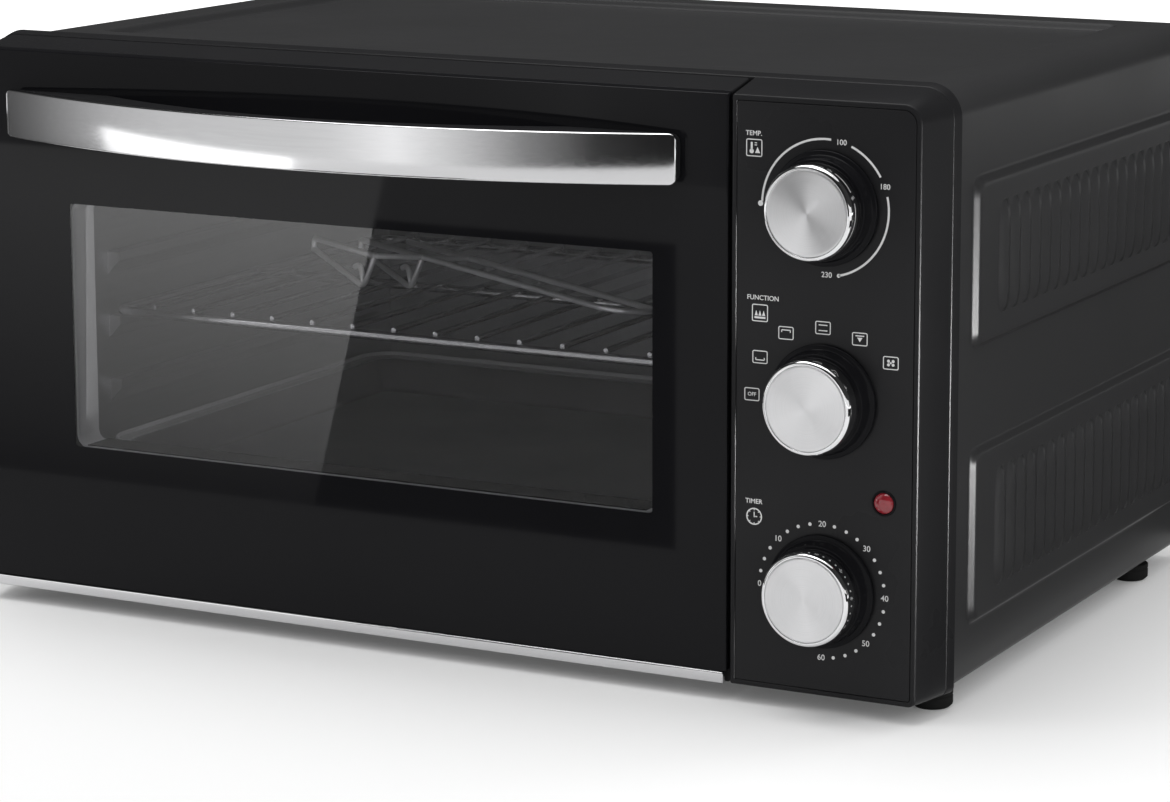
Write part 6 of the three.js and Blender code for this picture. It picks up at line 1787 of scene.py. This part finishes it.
def screw_head():
    """Rings of a screw head that points along +Z, in millimetres."""
    turns = [2 * math.pi * (step + 0.5) / SCREW_STEPS for step in range(SCREW_STEPS)]
    rings = []
    for share in (0.0, *SCREW_DOME):
        radius = SCREW_RADIUS * math.sqrt(1 - share ** 2 * SCREW_DOME_ROUND)
        height = SCREW_HEIGHT * share
        rings.append([(radius * math.cos(turn), radius * math.sin(turn), height) for turn in turns])
    for height, scale in ((SCREW_HEIGHT, 1.0), (SCREW_HEIGHT - CROSS_DEPTH, CROSS_FOOT)):
        reaches = [cross_radius(turn) * scale for turn in turns]
        rings.append([(reach * math.cos(turn), reach * math.sin(turn), height)
                      for reach, turn in zip(reaches, turns)])
    return rings


def screw(place, facing):
    """A screw head at a place, turned to face along an axis."""
    turn = Vector((0, 0, 1)).rotation_difference(Vector(facing)).to_matrix()
    rings = [[Vector(place) + turn @ Vector(point) * MM for point in ring] for ring in screw_head()]
    return skin(rings)


rear_screws = []
for x in (-CASE_HALF + REAR_INSET, CASE_HALF - REAR_INSET):
    for z in REAR_HEIGHTS:
        rear_screws.append(screw((x, WRAP_HIGH.y, z), (0, 1, 0)))
for x in REAR_PLACES:
    rear_screws.append(screw((x, WRAP_HIGH.y, CASE_TOP - REAR_INSET), (0, 1, 0)))
piece("rear_screws", gathered(*rear_screws), hinge_steel, "oven", smooth=40)
under_screws = []
for x in (-CASE_HALF + UNDER_INSET, CASE_HALF - UNDER_INSET):
    for y in UNDER_PLACES:
        under_screws.append(screw((x, y, CASE_LIFT), (0, 0, -1)))
piece("under_screws", gathered(*under_screws), hinge_steel, "oven", smooth=40)
print("screws", len(rear_screws) + len(under_screws))

# %% [markdown]
# The studio: a pale floor without an edge in view, a white world, and large soft lamps. A glossy floor would
# mirror the cards and show a horizon, so this one is matt. Near the oven it keeps the shadows and glows a
# little. Far away it fades to the white of the world. Floor and world are white to the camera and in
# reflections, while the light that they throw on the oven stays at a plain level.

# %% Studio floor
FLOOR_SIZE = 12.0
FLOOR_TONE = 0.80
FLOOR_ROUGHNESS = 0.8
FLOOR_LIFT = 0.08
WHITE_FROM = 0.9
WHITE_FULL = 3.0


def white_rays(tree):
    """1 for rays that come from the camera, a mirror or glass, and 0 for the rest."""
    path = tree.nodes.new("ShaderNodeLightPath")
    first = tree.nodes.new("ShaderNodeMath")
    first.operation = "MAXIMUM"
    tree.links.new(path.outputs["Is Camera Ray"], first.inputs[0])
    tree.links.new(path.outputs["Is Glossy Ray"], first.inputs[1])
    second = tree.nodes.new("ShaderNodeMath")
    second.operation = "MAXIMUM"
    tree.links.new(first.outputs["Value"], second.inputs[0])
    tree.links.new(path.outputs["Is Transmission Ray"], second.inputs[1])
    return second.outputs["Value"]


def floor_material():
    """A matt pale floor that keeps shadows, glows a little and fades to white far from the oven."""
    material, shader = bare_material("studio_floor")
    tree = material.node_tree
    shader.inputs["Base Color"].default_value = (FLOOR_TONE, FLOOR_TONE, FLOOR_TONE, 1)
    shader.inputs["Roughness"].default_value = FLOOR_ROUGHNESS
    shader.inputs["Specular IOR Level"].default_value = 0.0
    distance = tree.nodes.new("ShaderNodeVectorMath")
    distance.operation = "LENGTH"
    tree.links.new(tree.nodes.new("ShaderNodeTexCoord").outputs["Object"], distance.inputs[0])
    far = tree.nodes.new("ShaderNodeMapRange")
    far.interpolation_type = "SMOOTHSTEP"
    far.inputs["From Min"].default_value = WHITE_FROM
    far.inputs["From Max"].default_value = WHITE_FULL
    far.inputs["To Min"].default_value = FLOOR_LIFT
    tree.links.new(distance.outputs["Value"], far.inputs["Value"])
    strength = tree.nodes.new("ShaderNodeMath")
    strength.operation = "MULTIPLY"
    tree.links.new(far.outputs["Result"], strength.inputs[0])
    tree.links.new(white_rays(tree), strength.inputs[1])
    tree.links.new(strength.outputs["Value"], shader.inputs["Emission Strength"])
    shader.inputs["Emission Color"].default_value = (1, 1, 1, 1)
    return material


def flat_card(name, corners, material):
    """A single flat sheet for the studio."""
    mesh = bpy.data.meshes.new(name)
    mesh.from_pydata(corners, [], [(0, 1, 2, 3)])
    mesh.materials.append(material)
    card = bpy.data.objects.new(name, mesh)
    scene.collection.objects.link(card)
    card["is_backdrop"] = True
    return card


half = FLOOR_SIZE / 2
floor_corners = [(-half, -half, 0), (half, -half, 0), (half, half, 0), (-half, half, 0)]
flat_card("studio_floor", floor_corners, floor_material())
print("floor white from", WHITE_FULL, "m out")

# %% [markdown]
# A product photographer shapes what shiny metal and glass show with cards beside the lens. One graded card
# folds round the front left: the bowed handle runs through all of its tones, and the window shows its
# slanted edge. Its lower part is brighter, because the pane mirrors only a little of it, as a pale veil over
# the window's left. A dark card keeps the window's right part clear, and a very bright one draws the lines
# on the pressed shoulders. The cards are seen only in reflections, and they light nothing.

# %% Reflection cards
CARD_X = -0.60
CARD_Y = -0.42
CARD_FOOT = 0.001
CARD_TOP = 0.45
SIDE_CARD_BACK = -0.17
EDGE_LOW = (-0.2225, 0.001)
EDGE_HIGH = (-0.158, 0.256)
EDGE_LEAN = (EDGE_HIGH[0] - EDGE_LOW[0]) / (EDGE_HIGH[1] - EDGE_LOW[1])
BAND_LOW = 0.205
BAND_RIGHT = 0.38
GLOW_TOP = 0.20
GLOW_PEAK = 4.6
CARD_TONES = (
    (-0.43, 0.07), (-0.39, 0.10), (-0.33, 0.20), (-0.17, 0.60), (0.05, 0.80), (0.26, 0.88),
    (0.30, 0.95), (0.34, 1.15), (0.37, 1.33), (0.40, 1.08), (0.43, 0.87), (0.50, 0.32),
    (0.57, 0.05), (0.63, 0.02), (0.80, 0.01),
)
CARD_TONE_PEAK = 1.5
FADE_HEIGHT = 0.17
FADE_AT_FOOT = 0.15
WINDOW_CARD_RIGHT = 0.012
WINDOW_CARD_TOP = 0.172
WINDOW_CARD_TONE = 0.05
SHOULDER_ENDS = ((0.62, -0.50), (0.75, -0.15))
SHOULDER_TOP = 0.12
SHOULDER_GLOW = 140.0


def card_material(name, strength):
    """A flat card that only shows itself."""
    material, shader = bare_material(name)
    shader.inputs["Base Color"].default_value = (0, 0, 0, 1)
    shader.inputs["Specular IOR Level"].default_value = 0.0
    shader.inputs["Roughness"].default_value = 1.0
    shader.inputs["Emission Color"].default_value = (1, 1, 1, 1)
    shader.inputs["Emission Strength"].default_value = strength
    return material


def graded_material(name, peak):
    """A card whose tone changes along its fold, X minus Y, and fades towards the floor."""
    material = card_material(name, peak)
    tree = material.node_tree
    place = tree.nodes.new("ShaderNodeSeparateXYZ")
    tree.links.new(tree.nodes.new("ShaderNodeTexCoord").outputs["Object"], place.inputs["Vector"])
    along = tree.nodes.new("ShaderNodeMath")
    along.operation = "SUBTRACT"
    tree.links.new(place.outputs["X"], along.inputs[0])
    tree.links.new(place.outputs["Y"], along.inputs[1])
    start, end = CARD_TONES[0][0], CARD_TONES[-1][0]
    spread = tree.nodes.new("ShaderNodeMapRange")
    spread.inputs["From Min"].default_value = start
    spread.inputs["From Max"].default_value = end
    tree.links.new(along.outputs["Value"], spread.inputs["Value"])
    tones = tree.nodes.new("ShaderNodeValToRGB")
    stops = tones.color_ramp.elements
    while len(stops) < len(CARD_TONES):
        stops.new(0.5)
    for stop, (position, tone) in zip(stops, CARD_TONES):
        stop.position = (position - start) / (end - start)
        stop.color = (*[tone / CARD_TONE_PEAK] * 3, 1)
    tree.links.new(spread.outputs["Result"], tones.inputs["Fac"])
    fade = tree.nodes.new("ShaderNodeMapRange")
    fade.inputs["From Max"].default_value = FADE_HEIGHT
    fade.inputs["To Min"].default_value = FADE_AT_FOOT
    tree.links.new(place.outputs["Z"], fade.inputs["Value"])
    faded = tree.nodes.new("ShaderNodeMix")
    faded.data_type = "RGBA"
    faded.inputs["A"].default_value = (0, 0, 0, 1)
    tree.links.new(fade.outputs["Result"], faded.inputs["Factor"])
    tree.links.new(tones.outputs["Color"], faded.inputs["B"])
    tree.links.new(faded.outputs["Result"], tree.nodes["Principled BSDF"].inputs["Emission Color"])
    return material


def only_reflected(card):
    """Hides a card from everything but mirrors."""
    card.visible_camera = False
    card.visible_diffuse = False
    card.visible_transmission = False
    card.visible_shadow = False
    card.visible_volume_scatter = False


def upright(points, low, high):
    """The four corners of an upright card between two places in plan."""
    (x0, y0), (x1, y1) = points
    return [(x0, y0, low), (x1, y1, low), (x1, y1, high), (x0, y0, high)]


def edge_x(z):
    """Where the graded card's slanted edge stands at a height."""
    return EDGE_LOW[0] + EDGE_LEAN * (z - EDGE_LOW[1])


def left_of_edge(low, high):
    """A card from the fold to the slanted edge, between two heights."""
    return [(CARD_X, CARD_Y, low), (edge_x(low), CARD_Y, low),
            (edge_x(high), CARD_Y, high), (CARD_X, CARD_Y, high)]


def right_of_edge(low, high, end):
    """A card from the slanted edge to its right end, between two heights."""
    return [(edge_x(low), CARD_Y, low), (end, CARD_Y, low), (end, CARD_Y, high), (edge_x(high), CARD_Y, high)]


graded = graded_material("graded_card", CARD_TONE_PEAK)
glowing = graded_material("glow_card", GLOW_PEAK)
dim = card_material("window_card", WINDOW_CARD_TONE)
bright = card_material("shoulder_card", SHOULDER_GLOW)
side_ends = ((CARD_X, SIDE_CARD_BACK), (CARD_X, CARD_Y))
shoulder_card = flat_card("shoulder_card", upright(SHOULDER_ENDS, CARD_FOOT, SHOULDER_TOP), bright)
cards = [
    flat_card("graded_side", upright(side_ends, CARD_FOOT, CARD_TOP), graded),
    flat_card("graded_front", left_of_edge(GLOW_TOP, CARD_TOP), graded),
    flat_card("glow_card", left_of_edge(CARD_FOOT, GLOW_TOP), glowing),
    flat_card("graded_band", right_of_edge(BAND_LOW, CARD_TOP, BAND_RIGHT), graded),
    flat_card("window_card", right_of_edge(CARD_FOOT, WINDOW_CARD_TOP, WINDOW_CARD_RIGHT), dim),
    shoulder_card,
]
for card in cards:
    only_reflected(card)
print("cards", len(cards))

# %% [markdown]
# The card for the shoulders is much brighter than the rest, and it would burn out the knobs and the panel
# from the left side. Light linking keeps it to the pressed and moulded pieces whose edges it draws.

# %% The shoulder card's pieces
edged_pieces = bpy.data.collections.new("edged_pieces")
for name in ("case_sheet", "front_frame_pressing", "panel_moulding"):
    edged_pieces.objects.link(bpy.data.objects[name])
shoulder_card.light_linking.receiver_collection = edged_pieces

# %% [markdown]
# Black paint mirrors, if only faintly, whatever stands round it, and an all-white studio would turn it
# grey. So dark mats lie beside and behind the oven, and dark panels hang in a ring round the set. Behind the
# oven the panels come lower than in front. Mats and panels are seen only in reflections too.

# %% Dark mats and curtain
DARK_TONE = 0.04
MAT_LIFT = 0.0015
DARK_MATS = ((0.29, 2.4, -0.15, 2.6), (-2.4, -0.29, -0.15, 2.6), (-0.29, 0.29, 0.24, 2.6))
CURTAIN_RADIUS = 2.2
CURTAIN_LOW = 0.52
CURTAIN_FOOT = 0.16
CURTAIN_HIGH = 3.2
CURTAIN_SIDES = 24
BEHIND = -0.01
dark_material = card_material("dark_card", DARK_TONE)
for index, (x0, x1, y0, y1) in enumerate(DARK_MATS):
    corners = [(x0, y0, MAT_LIFT), (x1, y0, MAT_LIFT), (x1, y1, MAT_LIFT), (x0, y1, MAT_LIFT)]
    only_reflected(flat_card(f"dark_mat_{index}", corners, dark_material))

turns = [2 * math.pi * side / CURTAIN_SIDES for side in range(CURTAIN_SIDES + 1)]
hangs = [(CURTAIN_RADIUS * math.cos(turn), CURTAIN_RADIUS * math.sin(turn)) for turn in turns]
for index, ends in enumerate(zip(hangs, hangs[1:])):
    behind_oven = min(ends[0][1], ends[1][1]) > BEHIND
    low = CURTAIN_FOOT if behind_oven else CURTAIN_LOW
    only_reflected(flat_card(f"curtain_{index}", upright(ends, low, CURTAIN_HIGH), dark_material))
print("dark mats", len(DARK_MATS), "curtain panels", CURTAIN_SIDES)

# %% [markdown]
# The world lights the oven at half its strength, so that the lamps can shape it. One large lamp hangs
# overhead and is the only one that shiny parts mirror. Weaker ones from the right, the left and behind lift
# the sides, and a very weak one behind the door stands for the light that the cooking space would throw
# about by itself.

# %% World and lamps
WORLD_FILL = 0.5
OVEN_MIDDLE = (0.0, 0.0, 0.15)
CASE_RIGHT = (0.27, -0.1, 0.15)
RACK_LEFT = (-0.16, 0.1, 0.15)
BEHIND_DOOR = (-0.12, FRONT_Y + 0.028, 0.16)
world = bpy.data.worlds.new("studio_world")
scene.world = world
world.use_nodes = True
world_tree = world.node_tree
backdrop = world_tree.nodes["Background"]
backdrop.inputs["Color"].default_value = (1, 1, 1, 1)
fill = world_tree.nodes.new("ShaderNodeMapRange")
fill.inputs["To Min"].default_value = WORLD_FILL
fill.inputs["To Max"].default_value = 1.0
world_tree.links.new(white_rays(world_tree), fill.inputs["Value"])
world_tree.links.new(fill.outputs["Result"], backdrop.inputs["Strength"])


def soft_lamp(name, place, target, width, height, power, mirrored=False):
    """A rectangular lamp that faces a point. Most lamps don't show in mirrors."""
    data = bpy.data.lights.new(name, "AREA")
    data.shape = "RECTANGLE"
    data.size = width
    data.size_y = height
    data.energy = power
    lamp = bpy.data.objects.new(name, data)
    lamp.location = place
    lamp.rotation_euler = (Vector(target) - Vector(place)).to_track_quat("-Z", "Y").to_euler()
    lamp.visible_camera = False
    lamp.visible_glossy = mirrored
    scene.collection.objects.link(lamp)


soft_lamp("overhead_lamp", (-0.2, -0.2, 2.0), OVEN_MIDDLE, width=1.8, height=1.4, power=29, mirrored=True)
soft_lamp("right_lamp", (1.15, -0.62, 0.42), CASE_RIGHT, width=0.3, height=0.8, power=3)
soft_lamp("left_lamp", (-2.0, -1.6, 1.2), OVEN_MIDDLE, width=0.9, height=1.4, power=10)
soft_lamp("rear_lamp", (1.4, 2.0, 1.4), OVEN_MIDDLE, width=1.2, height=1.2, power=12)
soft_lamp("window_lamp", BEHIND_DOOR, RACK_LEFT, width=0.2, height=0.12, power=0.05)
scene.view_settings.view_transform = "Standard"

# %% [markdown]
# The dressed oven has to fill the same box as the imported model. Both boxes are kept side by side, and the
# print shows by how many millimetres each corner has moved.

# %% Sizes and finish
VISUAL_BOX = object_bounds()
for corner, before, after in zip(("low", "high"), CAD_BOX, VISUAL_BOX):
    print(corner, "corner moves by", [round((new - old) / MM, 2) for new, old in zip(after, before)], "mm")
